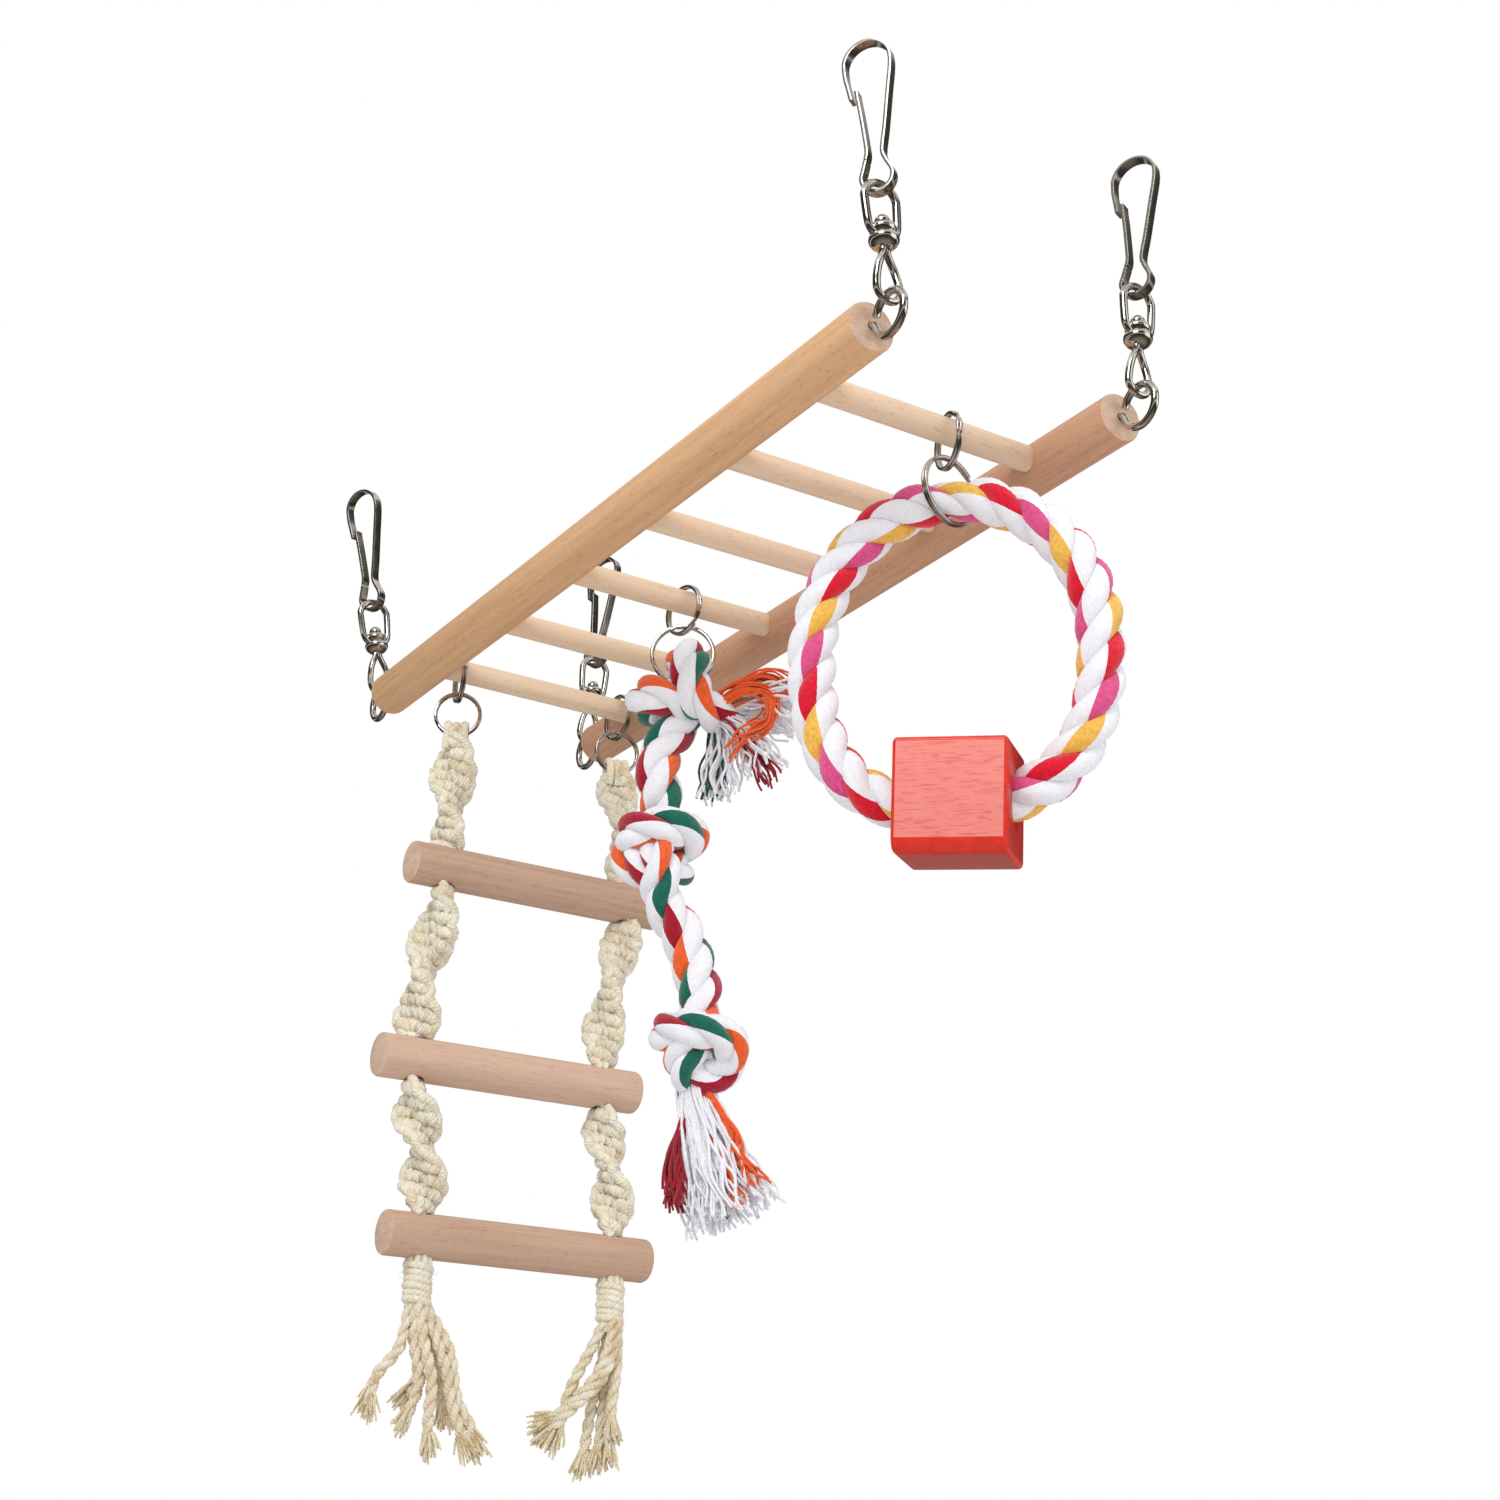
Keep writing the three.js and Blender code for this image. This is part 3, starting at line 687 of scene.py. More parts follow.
def add_rails():
    for index, (side_name, side) in enumerate((("left", -1), ("right", 1))):
        x = side * RAIL_SPACING / 2
        bark = wood(f"beech_{side_name}", *RAIL_WOOD[side_name], 1, index + 1)
        rail = dowel(f"rail_{side_name}", RAIL_LENGTH, RAIL_RADIUS, 0.7, "Y", below(x, 0, 0), bark)
        mouth, bottom = x - side * (RAIL_RADIUS + 2), x - side * (RAIL_RADIUS - SOCKET - 0.2)
        holes = [
            (RUNG_RADIUS + 0.05, below(mouth, rung_y(i), 0), below(bottom, rung_y(i), 0))
            for i in range(RUNG_COUNT)
        ]
        mouth, bottom = RAIL_LENGTH / 2 + 2, RAIL_LENGTH / 2 - SCREW_SHANK
        holes += [(WIRE * 1.12, below(x, end * mouth, 0), below(x, end * bottom, 0)) for end in (-1, 1)]
        drill(rail, holes)
        place(rail, "bridge", "beech", f"rail_{side_name}")


def add_bridge_rungs():
    length = RAIL_SPACING - 2 * (RAIL_RADIUS - SOCKET)
    for i in range(RUNG_COUNT):
        name = f"bridge_rung_{i + 1}"
        pale = wood(f"pale_{i + 1}", PALE_LIGHT, PALE_DARK, 0, 20 + 3 * i, streak=0.35)
        rung = dowel(name, length, RUNG_RADIUS, 0.3, "X", below(0, rung_y(i), 0), pale, 56)
        place(rung, "bridge", "pale_wood", name)


def add_ladder_rungs():
    bodies = ("ladder_top", "ladder_middle", "ladder_bottom")
    for i, ((x, drop), body) in enumerate(zip(LADDER_RUNGS, bodies)):
        name = f"ladder_rung_{i + 1}"
        pink = wood(f"ladder_beech_{i + 1}", *LADDER_WOOD[i], 0, 60 + 5 * i, streak=0.55)
        centre = below(x, LADDER_Y, drop)
        rung = dowel(name, LADDER_RUNG_LENGTH, LADDER_RUNG_RADIUS, 0.8, "X", centre, pink)
        starts = [centre + (side * HOLE_OFFSET, 0, 9) for side in (-1, 1)]
        drill(rung, [(HOLE_RADIUS + 0.3, start, start - (0, 0, 18)) for start in starts])
        place(rung, body, "beech", name)


# ---- wire parts ----
def rounded_bar(half_width, half_height, corner, steps=4):
    """The outline of a bar with rounded corners; the first axis is the width."""
    points = []
    for quadrant, (sign_x, sign_y) in enumerate(((1, 1), (-1, 1), (-1, -1), (1, -1))):
        for i in range(steps + 1):
            angle = (quadrant + i / steps) * math.pi / 2
            x = sign_x * (half_width - corner) + corner * math.cos(angle)
            points.append((x, sign_y * (half_height - corner) + corner * math.sin(angle)))
    return np.array(points)


def add_split_ring(centre, node_name, radius, turn, spin, body):
    """Two turns of flattened wire, side by side, with the short crossing that a split ring has."""
    crossing, half_gap, end_gap = 0.34, 0.42, 0.12
    angles = np.linspace(end_gap, 4 * math.pi - end_gap, 150)
    layer = (smooth_share((angles - 2 * math.pi + crossing) / (2 * crossing)) - 0.5) * 2 * half_gap
    path = np.column_stack([radius * np.cos(angles + spin), layer, radius * np.sin(angles + spin)])
    rings = tube_rings(path, rounded_bar(0.40, 0.55, 0.32), start=(0, 1, 0))
    matrix = Matrix.Translation(centre) @ Matrix.Rotation(turn, 4, "Z")
    add_piece(node_name, "coil", [moved(rings, matrix)], RING_NICKEL, body, "split_ring_steel")


def add_ring_pair(x, y, small, linked):
    """A small ring round a rung, and one linked through it; each a name, radius, turn, spin and body."""
    for ring, drop in ((small, SMALL_RING_DROP), (linked, LINKED_DROP + linked[1])):
        add_split_ring(below(x, y, drop), *ring)


def add_split_rings():
    across = math.pi / 2
    for side, turn, spin in (("left", across - 0.26, 2.2), ("right", across, 0.4)):
        add_ring_pair(
            LADDER_ROPE_X[side], LADDER_Y,
            (f"small_ring_{side}", SMALL_RING, turn, spin, "ladder_rings"),
            (f"ladder_ring_{side}", LADDER_RING, LADDER_RING_TURN[side], spin + 1.4, "ladder_top"))
    add_ring_pair(
        HOOP_X, HOOP_Y,
        ("hoop_small_ring", SMALL_RING, across - 0.26, 2.6, "hoop_link"),
        ("hoop_ring", TOY_RING, 0.15, 0.6, "hoop_big_link"))
    add_ring_pair(
        CHEW_X, CHEW_Y,
        ("chew_small_ring", SMALL_RING, across + 0.12, 3.9, "chew_link"),
        ("chew_ring", TOY_RING, math.radians(CHEW_TURN), 1.9, "chew_top"))


def arc(x, z, radius, first, last, count):
    """Points on an arc in XZ; its angles are in degrees."""
    angles = np.radians(np.linspace(first, last, count))
    return [(x + radius * math.cos(a), 0.0, z + radius * math.sin(a)) for a in angles]


def screw_eye_path(end):
    loop = [(0.0, y, z) for y, _, z in arc(SCREW_EYE_REACH, 0, SCREW_EYE_RADIUS, 212, 524, 40)]
    shank = [(0.0, y, 0.0) for y in (-12.0, -8.0, -4.0, 0.0)]
    return np.array(shank + [(0.0, 1.2, -0.9)] + loop) * (1, end, 1)


def add_screw_eye(name, x, end):
    thread_length, thread_pitch = 11.5, 1.1
    path = smooth_path(screw_eye_path(end), 0.35) + below(x, end * RAIL_LENGTH / 2, 0)
    along = arc_length(path)
    ridges = 0.92 + 0.12 * np.sin(along * 2 * math.pi / thread_pitch)
    radius = np.where(along < thread_length, ridges, 1.0)
    wire = tube_rings(path, round_section(WIRE, 14), radius, start=(1, 0, 0))
    add_piece(f"screw_eye_{name}", "wire", [wire], BRIGHT_NICKEL, "bridge", "nickel_wire")


def lathe(profile, sides=40):
    return np.array([[(*point, z) for point in round_section(r, sides)] for r, z in profile])


def eye_link_path():
    """The lower link: a long loop that closes towards the barrel and is twisted on the way."""
    right = [(0.95, 14.6), (1.0, 13.0), (1.5, 11.7), (2.3, 10.2), (2.9, 8.5), (3.25, 6.4), (3.35, 4.6)]
    bottom = [(3.35 * math.cos(a), 3.3 + 3.6 * math.sin(a)) for a in np.radians([-12, -40, -65, -90])]
    half = right + bottom
    points = []
    for x, z in half + [(-x, z) for x, z in reversed(half[:-1])]:
        twist = EYE_TWIST * max(z - 3.5, 0) / 9
        points.append((x * math.cos(twist), x * math.sin(twist), z))
    return smooth_path(points, 0.35)


def bow_path():
    foot, shoulder = BARREL_TOP - 3.2, BOW_TOP - 4.7
    height = BOW_TOP - shoulder
    crown = [(x * BOW_HALF_WIDTH, 0.0, shoulder + z * height) for x, _, z in arc(0, 0, 1.0, 0, 180, 11)]
    right = [(2.5, 0.0, foot), (3.5, 0.0, foot + 0.9), (4.25, 0.0, foot + 3.0)]
    return smooth_path(right + crown + [(-x, y, z) for x, y, z in reversed(right)], 0.35)


def hook_frame_path():
    """The strip from its nose over the crown, down the spine and round the bulb."""
    nose = [(-4.8, 0.0, -14.7), (-5.3, 0.0, -11.5), (-5.8, 0.0, -8.3)]
    crown = arc(0, -5.33, 5.9, 174, 6, 11)
    spine = [(5.8, 0.0, -7.9), (4.6, 0.0, -15.0), (3.1, 0.0, -24.0), (1.9, 0.0, -30.4), (2.4, 0.0, -33.0)]
    bulb = arc(0, -37.25, 3.95, 28, -208, 17)
    return smooth_path(nose + crown + spine + bulb + [(-2.5, 0.0, -32.3)], 0.4)


def hook_gate_path():
    outline = [(-2.45, -32.0), (-2.0, -30.2), (-2.1, -27.0), (-2.7, -19.0), (-3.2, -14.2), (-3.3, -12.6)]
    return smooth_path([(x, 0.0, z) for x, z in outline], 0.5)


def add_corner(name, side, end, lean, yaw):
    """A screw eye, the swivel chained to it and the snap hook above that."""
    x = side * RAIL_SPACING / 2
    add_screw_eye(name, x, end)
    foot = Matrix.Translation(below(x, end * (RAIL_LENGTH / 2 + SCREW_EYE_REACH), -CHAIN_FOOT))
    chain = foot @ Matrix.Rotation(math.radians(side * lean), 4, "Y")
    hook = chain @ Matrix.Translation((0, 0, BEARING)) @ Matrix.Rotation(math.radians(yaw), 4, "Z")

    def bent(path, section, matrix=chain):
        return moved(tube_rings(path, section, start=(0, 1, 0)), matrix)

    link = [bent(eye_link_path(), round_section(WIRE * 0.94, 14)), moved(lathe(RIVET_PROFILE), chain)]
    barrel = [moved(lathe(BARREL_PROFILE), chain)]
    bow = [bent(bow_path(), round_section(WIRE, 14))]
    add_piece(f"swivel_eye_{name}", "wire", link, BRIGHT_NICKEL, f"eye_{name}", "nickel_wire")
    add_piece(f"swivel_barrel_{name}", "turned", barrel, BRIGHT_NICKEL, f"bow_{name}", "nickel_wire", 50)
    add_piece(f"swivel_bow_{name}", "wire", bow, BRIGHT_NICKEL, f"bow_{name}", "nickel_wire")
    strips = (("snap_hook", hook_frame_path(), "hooks"), ("hook_gate", hook_gate_path(), f"gate_{name}"))
    for kind, path, body in strips:
        strip = [bent(path, rounded_bar(1.5, 0.45, 0.12), hook)]
        add_piece(f"{kind}_{name}", "strip", strip, SPRING_NICKEL, body, "spring_steel", 20)


# ---- the ladder's knotted ropes ----
def band_width(along, start, end, full):
    """Half the band's width: a thin neck inside the rungs' holes, and rounded shoulders between them."""
    neck, shoulder, reach = 2.4, 3.9, 7.0
    inside = np.minimum(along - start, end - along)
    share = np.clip(inside / reach, 0, 1)
    width = shoulder + (full - shoulder) * np.sin(share * math.pi / 2)
    return np.where(inside < 0, neck, width)


def half_knot_band(shape, path, width, lobes):
    """A spiral of half knots: bars wound across a flat band that turns on its way down, and two edges."""
    along = arc_length(path)
    total = along[-1]
    thick = np.minimum(width * 0.62, 2.7)
    drops = -RAIL_DROP - path[:, 2]
    turn = BAND_FACING + math.pi * (drops - lobes[0]) / (lobes[1] - lobes[0])
    level = np.zeros(len(path))
    across = np.column_stack([np.cos(turn), np.sin(turn), level])
    facing = np.column_stack([-np.sin(turn), np.cos(turn), level])

    core = []
    outline = round_section(1.0, 16)
    for i, point in enumerate(path):
        ring = across[i] * outline[:, :1] * max(width[i] - 1.0, 0.8)
        core.append(point + ring + facing[i] * outline[:, 1:] * max(thick[i] - 0.8, 0.8))
    shape.add_rings(np.array(core))

    steps = max(int(total / KNOT_PITCH * 18), 40)
    route = []
    for s in np.linspace(0, total, steps + 1):
        i = min(int(np.searchsorted(along, s)), len(path) - 1)
        angle = 2 * math.pi * s / KNOT_PITCH
        wobble = 0.3 * math.sin(s * 2.9 + lobes[0]) + 0.2 * math.sin(s * 5.3)
        reach = width[i] - BAR_RADIUS * 0.75 + 0.35 * math.sin(s * 1.7 + lobes[1])
        sideways = across[i] * signed_power(math.cos(angle), 0.8) * reach
        forwards = facing[i] * signed_power(math.sin(angle), 0.6) * (thick[i] - 1.5 + wobble)
        route.append(path[i] + sideways + forwards)
    route = np.array(route)
    width_there = np.interp(np.linspace(0, total, steps + 1), along, width)
    shape.add_twine(route, BAR_RADIUS * np.clip(width_there / 4.6, 0.5, 1), 10)

    for edge in (-1, 1):
        phase = math.pi * along / KNOT_PITCH + (0 if edge < 0 else math.pi)
        bulge = np.cos(phase * 2) * 0.35
        line = path + across * (edge * (width - 0.5 + bulge))[:, None]
        line = line + facing * (np.sin(phase) * 1.2 * np.minimum(width / 5, 1))[:, None]
        shape.add_twine(line, np.minimum(1.5, width * 0.42))
    return route


def fuzz(shape, route, count, rng):
    """Short loose fibres that stand off the twine."""
    reach, radius = 2.6, 0.07
    shares = np.linspace(0, 1, 5)[:, None]
    for _ in range(count):
        at = route[rng.randrange(2, len(route) - 2)]
        direction = unit(np.array([rng.gauss(0, 1), rng.gauss(0, 1), rng.gauss(-0.2, 0.7)]))
        bend = np.array([rng.gauss(0, 1), rng.gauss(0, 1), rng.gauss(-0.6, 0.6)]) * 0.5
        length = reach * rng.uniform(0.5, 1.2)
        shape.add_tube(at + direction * length * shares + bend * shares ** 2, radius, 3)


def ladder_stretch_path(x_top, drop_top, x_foot, drop_foot):
    shares = np.linspace(0, 1, 90)
    x = x_top + (x_foot - x_top) * smooth_share((shares - 0.05) / 0.67)
    z = -RAIL_DROP - drop_top - (drop_foot - drop_top) * shares
    return np.column_stack([x, np.full(len(shares), LADDER_Y), z])


STRETCHES = {
    "upper": ("ladder_top",),
    "middle": ("ladder_top", "ladder_middle"),
    "lower": ("ladder_middle", "ladder_bottom"),
}


def add_ladder_ropes():
    """Each side rope in three stretches, with its ring loop above and its binding and tassel below."""
    ring_foot = LINKED_DROP + 2 * LADDER_RING - 0.6
    for side, sign in (("left", -1), ("right", 1)):
        hole_x = [x + sign * HOLE_OFFSET for x, _ in LADDER_RUNGS]
        tops = [(LADDER_ROPE_X[side], ring_foot)]
        tops += [(hole_x[i], LADDER_RUNGS[i][1] + 1.0) for i in (0, 1)]
        for i, (stretch, bodies) in enumerate(STRETCHES.items()):
            rng = random.Random(f"{stretch}{side}")
            x_top, drop_top = tops[i]
            path = ladder_stretch_path(x_top, drop_top, hole_x[i], LADDER_RUNGS[i][1] + 0.4)
            along = arc_length(path)
            start = 0.0 if i == 0 else LADDER_RUNG_RADIUS - 1.4
            width = band_width(along, start, along[-1] - LADDER_RUNG_RADIUS, BAND_HALF_WIDTH[side])
            shape = Shape()
            route = half_knot_band(shape, path, width, LOBES[side][i])
            if i == 0:
                add_ring_loop(shape, x_top, ring_foot, side)
            fuzz(shape, route, 60, rng)
            rope = shape.build(f"ladder_rope_{stretch}_{side}_knotted", [TWINE], smooth=60)
            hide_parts(f"ladder_rope_{stretch}_{side}")
            if i == 0:
                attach(rope, "ladder_top")
            else:
                rung_drop = LADDER_RUNGS[i - 1][1]
                start = below(x_top, LADDER_Y, rung_drop + 5.0) * MM
                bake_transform(rope)
        add_binding(side, hole_x[2])


def add_ring_loop(shape, x, drop, side):
    """The strands that pass over the split ring's lower wire at the top of a side rope."""
    turn = LADDER_RING_TURN[side]
    along = np.array((math.cos(turn), math.sin(turn), 0.0))
    through = np.array((-math.sin(turn), math.cos(turn), 0.0))
    arch = [(-2.1, -6.0), (-2.5, -2.0), (-1.9, 1.3), (0.0, 2.4), (1.9, 1.3), (2.5, -2.0), (2.1, -6.0)]
    for offset in (-2.5, -0.2, 2.2):
        foot = below(x, LADDER_Y, drop - abs(offset) * 0.12)
        points = [foot + along * offset * (1 + 0.04 * abs(z)) + through * t + (0, 0, z) for t, z in arch]
        shape.add_twine(smooth_path(points, 0.5), 1.35)


def add_binding(side, x):
    """The binding under the lowest rung: six wound turns on a core, with a gathered collar above them."""
    rng = random.Random(f"binding{side}")
    top, length, turns, flatness, collar_strands = LADDER_RUNGS[2][1] + LADDER_RUNG_RADIUS, 13.6, 6, 0.9, 9
    shape = Shape()
    angles = np.linspace(0, turns * 2 * math.pi, turns * 26)
    drops = np.linspace(top + 1.2, top + length - 1.0, len(angles)) + 0.35 * np.sin(angles + 1)
    radius = 3.1 + 0.25 * np.sin(angles * 0.37) + 0.1 * np.sin(angles * 2.3)
    y = LADDER_Y + radius * np.sin(angles) * flatness
    coil = np.column_stack([x + radius * np.cos(angles), y, -RAIL_DROP - drops])
    shape.add_twine(coil, 1.3)
    core = np.array([below(x, LADDER_Y, drop) for drop in np.linspace(top - 1, top + length + 2, 6)])
    shape.add_tube(core, 2.9, 14)
    collar = [(2.6, -0.5), (3.0, 0.3), (3.2, 1.4), (2.9, 2.6)]
    for out_x, out_y in round_section(1.0, collar_strands) * (1, flatness):
        points = [below(x + out_x * r, LADDER_Y + out_y * r, top + down) for r, down in collar]
        shape.add_twine(smooth_path(points, 0.5), 1.05, 8)
    fuzz(shape, coil, 40, rng)
    binding = shape.build(f"rope_binding_{side}_wound", [TWINE], smooth=60)
    place(binding, "ladder_bottom", "sisal", f"rope_binding_{side}")
    add_tassel(side, below(x, LADDER_Y, top + length - 1.5), rng)


def two_ply(shape, points, radius, rng):
    """A twine of two twisted plies that opens into loose fibres at its end."""
    frayed, ply_lay, fibre_count = 4.5, 8.5, 48
    path = smooth_path(points, 0.8)
    along = arc_length(path)
    path = path[along < along[-1] - frayed]
    _, first, second = frames_along(path, (0.2, 0.9, 0.1))
    phase = rng.uniform(0, 6.28)
    for k in range(2):
        angle = phase + 2 * math.pi * arc_length(path) / ply_lay + k * math.pi
        outward = first * np.cos(angle)[:, None] + second * np.sin(angle)[:, None]
        shape.add_tube(path + outward * radius * 0.4, radius * 0.72, 8, twist=0.7)
    way = unit(path[-1] - path[-4])
    shares = np.linspace(0, 1, 7)[:, None]
    for _ in range(fibre_count):
        spread = np.array([rng.gauss(0, 1), rng.gauss(0, 1), rng.gauss(0, 1)])
        length = frayed * rng.uniform(1.0, 1.35)
        curl = np.array([rng.gauss(0, 1), rng.gauss(0, 1), rng.gauss(0, 0.6)])
        fibre = path[-1] - way * 1.5 + spread * radius * 0.34 + way * length * shares
        fibre = fibre + spread * 0.5 * shares ** 0.8 * radius + curl * 0.4 * shares ** 2
        shape.add_tube(fibre, 0.46 * (1 - 0.35 * shares[:, 0]), 5, slot=1)


TASSEL_CORD_RADIUS = 1.65
TASSEL_LEAN = {"left": 0.12, "right": -0.08}  # sideways for each millimetre down
# For each cord, points as distances right of and in front of the tassel's axis, and below its top.
TASSEL_CORDS = {
    "left": [
        [(-1.5, 1.5, 0), (-3.4, 2.4, 8), (-6, 2.6, 14), (-11.5, 3, 20), (-14.2, 3, 26), (-14.6, 3.2, 32)],
        [(-0.8, -1.2, 0), (-1.6, -1.5, 10), (-1.0, -2.0, 19), (-4.5, -2.4, 25), (-8.5, -2.6, 25.5)],
        [(0.0, 2.0, 0), (-0.6, 2.6, 12), (-0.2, 2.4, 22), (-3.6, 2.2, 30), (-6.6, 2.0, 36)],
        [(0.8, 2.2, 0), (2.0, 3.2, 12), (3.4, 3.6, 22), (1.8, 3.4, 32), (0.8, 3.4, 43)],
        [(1.4, 0.2, 0), (4.6, 1.0, 9), (7.2, 1.4, 18), (8.4, 1.6, 28), (10.4, 1.8, 36), (13.4, 2.4, 43)],
        [(1.8, -1, 0), (6.2, -0.6, 8), (8.6, -0.6, 14), (9.6, -0.4, 26), (13, 0.4, 34), (15.4, 0.8, 41)],
        [(0.4, -2.0, 0), (2.4, -2.6, 12), (5.0, -3.0, 24), (4.4, -3.0, 34)],
    ],
    "right": [
        [(-1.2, 1.4, 0), (-4.0, 2.4, 8), (-7.6, 3.0, 16), (-10.0, 3.0, 24), (-12.4, 3.2, 38)],
        [(1.4, 2.4, 0), (0.8, 3.6, 9), (-2.8, 4.2, 18), (-11.0, 4.6, 27), (-18.6, 4.6, 31)],
        [(2.2, 1.8, 0), (2.2, 3.4, 9), (-0.6, 4.4, 18), (-9.0, 4.8, 27), (-17.0, 4.8, 36)],
        [(0.2, -1.4, 0), (-1.2, -2.0, 12), (-2.8, -2.0, 26), (-3.8, -1.8, 44)],
        [(1.4, -1.8, 0), (1.0, -2.4, 14), (0.6, -2.4, 28), (1.2, -2.2, 42)],
        [(2.4, -0.4, 0), (3.2, -0.8, 10), (3.0, -1.0, 26), (3.8, -1.0, 40)],
        [(2.2, 0.8, 0), (3.6, 0.8, 14), (3.4, 0.6, 27), (5.6, 0.6, 34)],
    ],
}


def add_tassel(side, top, rng):
    shape = Shape()
    right, front = np.array((0.84, -0.54, 0.0)), np.array((-0.54, -0.84, 0.0))
    for cord in TASSEL_CORDS[side]:
        points = [
            top + right * (r + TASSEL_LEAN[side] * down) + front * f - (0, 0, down)
            for r, f, down in cord
        ]
        two_ply(shape, points, TASSEL_CORD_RADIUS, rng)
    tassel = shape.build(f"rope_tassel_{side}_cords", [TASSEL_TWINE, TWINE_ENDS], smooth=60)
    place(tassel, "ladder_bottom", "sisal", f"rope_tassel_{side}")


# ---- the chew rope ----
# Points of an overhand knot from above to below, as distances right, in front and up from its middle:
# down behind the upper pass, across below, round the back, across in front, and out through the middle.
OVERHAND = [
    (0.2, -1.2, 15.0), (0.3, -3.2, 8.5), (1.6, -4.6, 1.0), (4.6, -2.6, -5.0), (2.6, 0.6, -7.6),
    (-3.6, 1.6, -7.4), (-8.0, 0.6, -3.4), (-7.4, -4.6, 0.6), (-1.0, -8.0, 2.6), (6.0, -6.0, 3.6),
    (8.6, 0.4, 3.6), (5.2, 6.0, 4.4), (-1.6, 7.4, 4.4), (-7.4, 4.2, 3.6), (-5.6, -0.6, 1.6),
    (-1.4, 2.0, -0.6), (0.8, 6.2, -4.8), (1.0, 5.8, -10.0), (0.9, 2.6, -15.5),
]
# The rope's start: its free end at the right, once round the standing part, over the ring and down.
RING_HITCH = [
    (11.5, -1.0, -9.2), (8.4, 2.6, -10.0), (4.6, 6.6, -8.4), (2.8, 8.0, -2.8), (2.4, 5.4, 3.6),
    (1.4, 0.6, 6.8), (0.4, -4.4, 4.2), (-1.6, -7.0, -1.6), (-6.4, -6.2, -5.0), (-10.2, -0.8, -5.6),
    (-8.0, 4.6, -5.8), (-2.4, 4.6, -6.8), (1.4, 0.4, -8.6), (-0.6, -1.6, -12.6), (-3.6, -1.2, -17.0),
]


def view_axes(turn):
    """Unit vectors to the right, to the front and up for something that faces the given way."""
    turn = math.radians(turn)
    right = np.array((math.cos(turn), math.sin(turn), 0.0))
    return right, np.array((right[1], -right[0], 0.0)), np.array((0.0, 0.0, 1.0))


def placed(points, centre, turn):
    right, front, up = view_axes(turn)
    return [np.asarray(centre) + right * r + front * f + up * z for r, f, z in points]


def chew_path():
    ring_foot = below(CHEW_X, CHEW_Y, LINKED_DROP + 2 * TOY_RING)
    points = placed(RING_HITCH, ring_foot, CHEW_TURN)
    points += [below(CHEW_X - 5.8, CHEW_Y + 3.2, 52.0)]
    points += placed(OVERHAND, below(CHEW_X - 5.0, CHEW_Y + 2.6, 77.3), CHEW_TURN)
    points += [below(CHEW_X + 1.6, CHEW_Y - 1.4, 104.0)]
    points += placed(OVERHAND, below(CHEW_X + 5.3, CHEW_Y - 4.1, 134.2), CHEW_TURN + 180)
    return smooth_path(points, 0.6)


def knot_tightness(path):
    """The rope's radius along its way: smaller where a knot presses other stretches of it close."""
    along = arc_length(path)
    same_stretch, closeness, least, window = 15, 0.66, 5.3, 21
    radius = np.empty(len(path))
    for i, point in enumerate(path):
        distance = np.linalg.norm(path[::6] - point, axis=1)
        distance[np.abs(along[::6] - along[i]) < same_stretch] = 99
        radius[i] = np.clip(distance.min() * closeness, least, CHEW_RADIUS)
    padded = np.pad(radius, window // 2, mode="edge")
    return np.convolve(padded, np.ones(window) / window, mode="valid")


def add_chew_rope():
    path = chew_path()
    rope = laid_rope("chew_rope_strands", path, knot_tightness(path) * 1.04, CHEW_STRANDS, start=(1, 0, 0))
    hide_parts("chew_knot_top", "chew_rope_upper", "chew_rope_lower")
    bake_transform(rope)
    side = add_frayed_end("side", path[0], 11, SIDE_YARNS, "chew_top")
    bottom = add_frayed_end("bottom", path[-1], 23, BOTTOM_YARNS, "chew_bottom")


def add_yarns(shape, rng, route, spreads, count, radius, slot, wave, ragged=0.16):
    """Loose yarns along a route, spread round it; ragged is how unequal their ends are."""
    line = smooth_path(route, 1.6)
    shares = np.linspace(0, 1, len(line))
    spread = np.interp(shares, np.linspace(0, 1, len(spreads)), spreads)
    _, first, second = frames_along(line, (0.3, 0.2, 0.9))
    for _ in range(count):
        angle, reach = rng.uniform(0, 2 * math.pi), math.sqrt(rng.random())
        phase, cycles = rng.uniform(0, 6.28), rng.uniform(1.2, 3.2)
        wander = wave * np.sin(shares * cycles * 6.28 + phase) * shares
        drift = wave * np.cos(shares * cycles * 5.1 + phase) * shares
        offset = first * (math.cos(angle) * reach * spread + wander)[:, None]
        offset = offset + second * (math.sin(angle) * reach * spread + drift)[:, None]
        last = max(int(len(line) * rng.uniform(1 - ragged, 1.0)), 4)
        shape.add_tube((line + offset)[:last], radius * (1 - 0.3 * shares[:last] ** 3), 6, slot=slot)


YARNS = [YARN_WHITE, YARN_ORANGE, YARN_CRIMSON, YARN_GREEN]
WHITE, ORANGE, CRIMSON, GREEN = range(4)
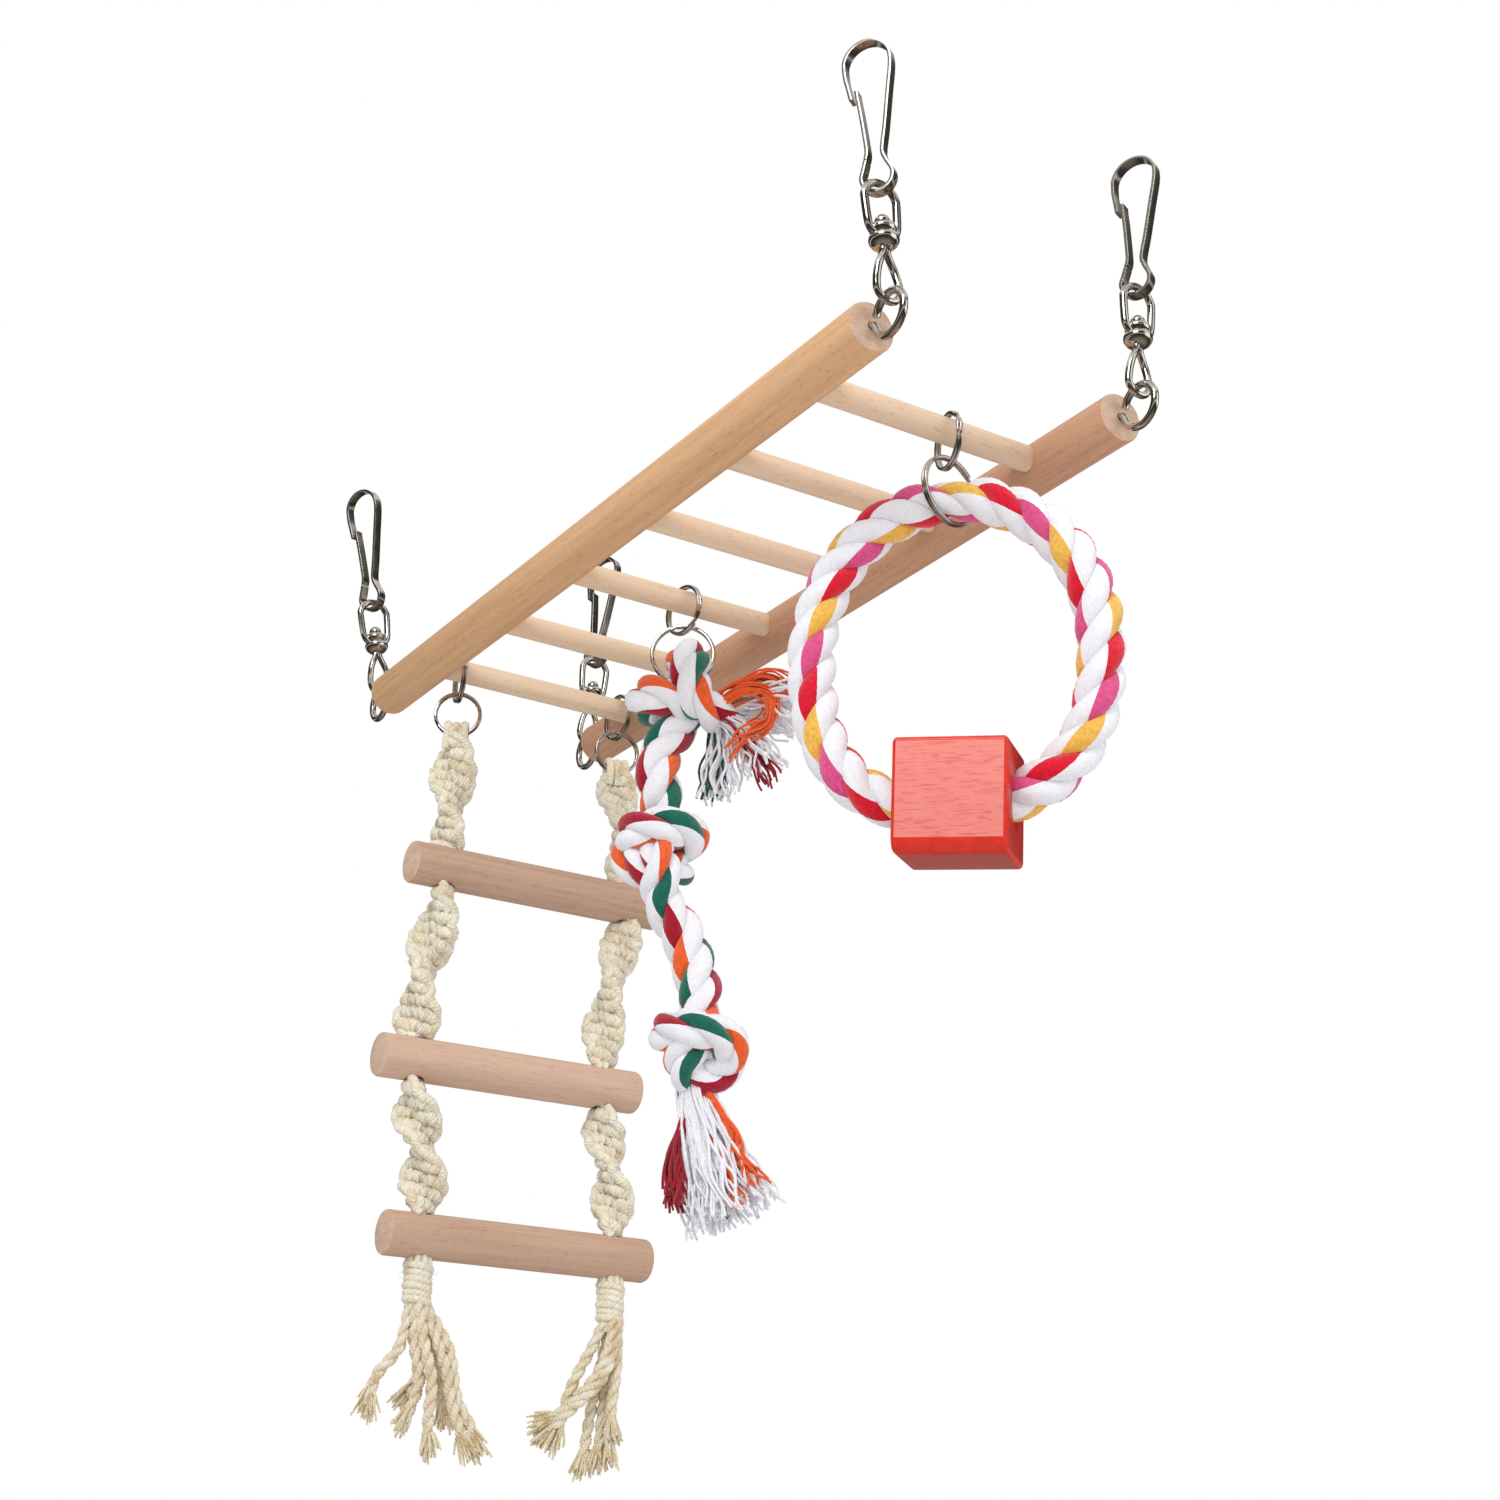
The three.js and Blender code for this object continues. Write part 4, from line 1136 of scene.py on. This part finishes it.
# Each bundle of yarns in the frayed ends: its route from inside the rope's end, its spreads on the way, how
# many yarns, their radius, colour and waviness, and how unequal their ends are where that isn't the usual.
SIDE_YARNS = [
    ([(-4, 0, 0), (0, 0, 0), (6, 0, 3), (15, 0, 3), (25, 0, 0)],
     [3.6, 4.4, 6.5, 9, 11], 80, 0.45, WHITE, 1.1),
    ([(-4, 0, 0), (-1, -1, -2), (1, -1, -9), (0, -1, -18), (0, -1, -28)],
     [3.4, 3.8, 4.6, 5.8, 7], 40, 0.45, WHITE, 0.9),
    ([(-4, 0, 0), (-1, -2, -2), (-1, -2, -9), (-2, -2, -18), (-2, -2, -27)],
     [2.6, 3, 3.4, 4, 4.4], 16, 0.43, GREEN, 0.9),
    ([(-4, 1, 1), (0, 3, 3), (6, 4, 7), (14, 3, 9), (24, 2, 6)],
     [2, 2.8, 3.0, 3.4, 4.6], 22, 0.38, ORANGE, 1.2),
    ([(-3, 2, 1), (1, 5, 2), (8, 6, 5), (14, 6, 2), (13, 6, -5), (8, 6, -9), (3, 6, -14), (2, 6, -18)],
     [2.0, 2.6, 3.0, 2.6, 2.8, 3.8], 17, 0.38, ORANGE, 1.1),
    ([(-3, 1, 0), (3, 4, -5), (8, 4, -12), (12, 4, -19), (15, 4, -25)],
     [1.4, 2, 2.4, 3, 4.5], 13, 0.42, CRIMSON, 0.8),
    ([(-3, 1, 0), (4, 3, -5), (10, 3, -13), (13, 3, -21)],
     [1.6, 3.0, 4.6, 7], 30, 0.45, WHITE, 1.1),
]
BOTTOM_YARNS = [
    ([(-0.5, -1, 5), (0.5, -0.5, 0), (2.4, 1, -8), (5.0, 1, -18), (7.5, 1, -26)],
     [3.0, 3.6, 4.8, 5.6, 6.4], 26, 1.5, WHITE, 0.8, 0.3),
    ([(-0.5, -1, 5), (0.5, -0.5, 0), (3.0, 0, -8), (6.5, 0, -20), (11.5, 0, -33)],
     [5.0, 6.6, 8.8, 11.6, 14.4], 180, 0.47, WHITE, 1.2),
    ([(-1, 1, 5), (-2, 2, 0), (-1, 3, -9), (2, 4, -22), (4, 4, -34)],
     [2.4, 3.0, 4.2, 5.2, 6.0], 46, 0.47, WHITE, 1.1),
    ([(-1, 1, 4), (-2, 2, -2), (-4.6, 4, -12), (-5.0, 5, -22), (-4.4, 6, -31)],
     [1.4, 1.4, 1.8, 3.4, 5.0], 38, 0.47, CRIMSON, 1.1),
    ([(2, 2, 4), (5.0, 3, 0), (9.0, 4, -7), (12.4, 5, -15), (18, 6, -26)],
     [1.0, 1.0, 1.4, 2.2, 4.4], 11, 0.42, ORANGE, 1.4),
    ([(0, 2, 2), (4, 5, -10), (8, 7.4, -20), (12.5, 9, -31)],
     [0.8, 1.0, 1.6, 3.2], 9, 0.42, ORANGE, 1.2),
    ([(0, -3, 2), (3, -4, -10), (7, -5, -20), (11, -6, -31)],
     [1.4, 2.0, 3.2, 5.0], 16, 0.45, GREEN, 1.0),
]


def add_frayed_end(name, base, seed, bundles, body):
    rng = random.Random(seed)
    shape = Shape()
    for points, *settings in bundles:
        add_yarns(shape, rng, placed(points, base, CHEW_TURN), *settings)
    yarns = shape.build(f"chew_tassel_{name}_yarns", YARNS)
    return place(yarns, body, "chew_cotton", f"chew_tassel_{name}")


# ---- light and floor ----
# The world by height, from straight down to straight up: what the metal mirrors, and what lights the rest.
GLOSS_BANDS = [
    (0.00, (0.36, 0.32, 0.28)), (0.22, (0.10, 0.08, 0.06)), (0.40, (0.02, 0.018, 0.015)),
    (0.48, (0.04, 0.036, 0.03)), (0.52, (1.15, 1.13, 1.10)), (0.56, (0.20, 0.18, 0.16)),
    (0.64, (0.02, 0.018, 0.015)), (0.80, (0.08, 0.07, 0.06)), (0.88, (1.15, 1.13, 1.10)),
    (1.00, (0.45, 0.44, 0.43)),
]
SOFT_SKY = [(0.0, (0.42, 0.42, 0.43)), (0.5, (0.62, 0.62, 0.64)), (1.0, (0.76, 0.76, 0.77))]


def add_studio():
    """A world that is white to the camera, banded to glossy rays and softly grey to everything else."""
    world = bpy.data.worlds.new("studio")
    bpy.context.scene.world = world
    world.use_nodes = True
    tree = world.node_tree
    background = tree.nodes["Background"]
    coordinates = tree.nodes.new("ShaderNodeTexCoord")
    split = tree.nodes.new("ShaderNodeSeparateXYZ")
    tree.links.new(coordinates.outputs["Generated"], split.inputs["Vector"])
    height = math_node(tree, "MULTIPLY_ADD", split.outputs["Z"], 0.5, 0.5)
    path = tree.nodes.new("ShaderNodeLightPath")
    soft, banded = ramp(tree, height, SOFT_SKY), ramp(tree, height, GLOSS_BANDS)
    lit = mix(tree, path.outputs["Is Glossy Ray"], soft, banded)
    sky = mix(tree, path.outputs["Is Camera Ray"], lit, (1.0, 1.0, 1.0))
    tree.links.new(sky, background.inputs["Color"])
    background.inputs["Strength"].default_value = 1.0


def add_area_light(name, location, size, power):
    data = bpy.data.lights.new(name, "AREA")
    data.energy, data.size = power, size
    lamp = bpy.data.objects.new(name, data)
    bpy.context.collection.objects.link(lamp)
    lamp.location = Vector(location) * MM
    lamp.rotation_euler = (CAMERA_TARGET - Vector(location)).to_track_quat("-Z", "Y").to_euler()


def add_floor():
    """A pale floor below the camera; the object hangs above it."""
    bpy.ops.mesh.primitive_plane_add(size=FLOOR_SIZE, location=(0, 0, FLOOR * MM))
    floor = bpy.context.object
    floor.name = "floor"
    floor.visible_glossy = False  # the metal mirrors the dark bands of the world instead
    material, tree, shader = new_material("pale_floor")
    paint(tree, shader, ramp(tree, noise(tree, 40), [(0.3, (0.84,) * 3), (0.7, (0.87,) * 3)]), 0.8)
    floor.data.materials.append(material)


add_camera()
add_hoop()
add_chew_rope()
add_rails()
add_bridge_rungs()
add_ladder_rungs()
for corner in CORNERS:
    add_corner(*corner)
add_split_rings()
add_ladder_ropes()
add_floor()
add_studio()
add_area_light("key", (-700, -600, 500), size=0.5, power=5.5)
add_area_light("fill", (500, -800, 100), size=0.7, power=2)
bpy.context.scene.view_settings.view_transform = "Standard"
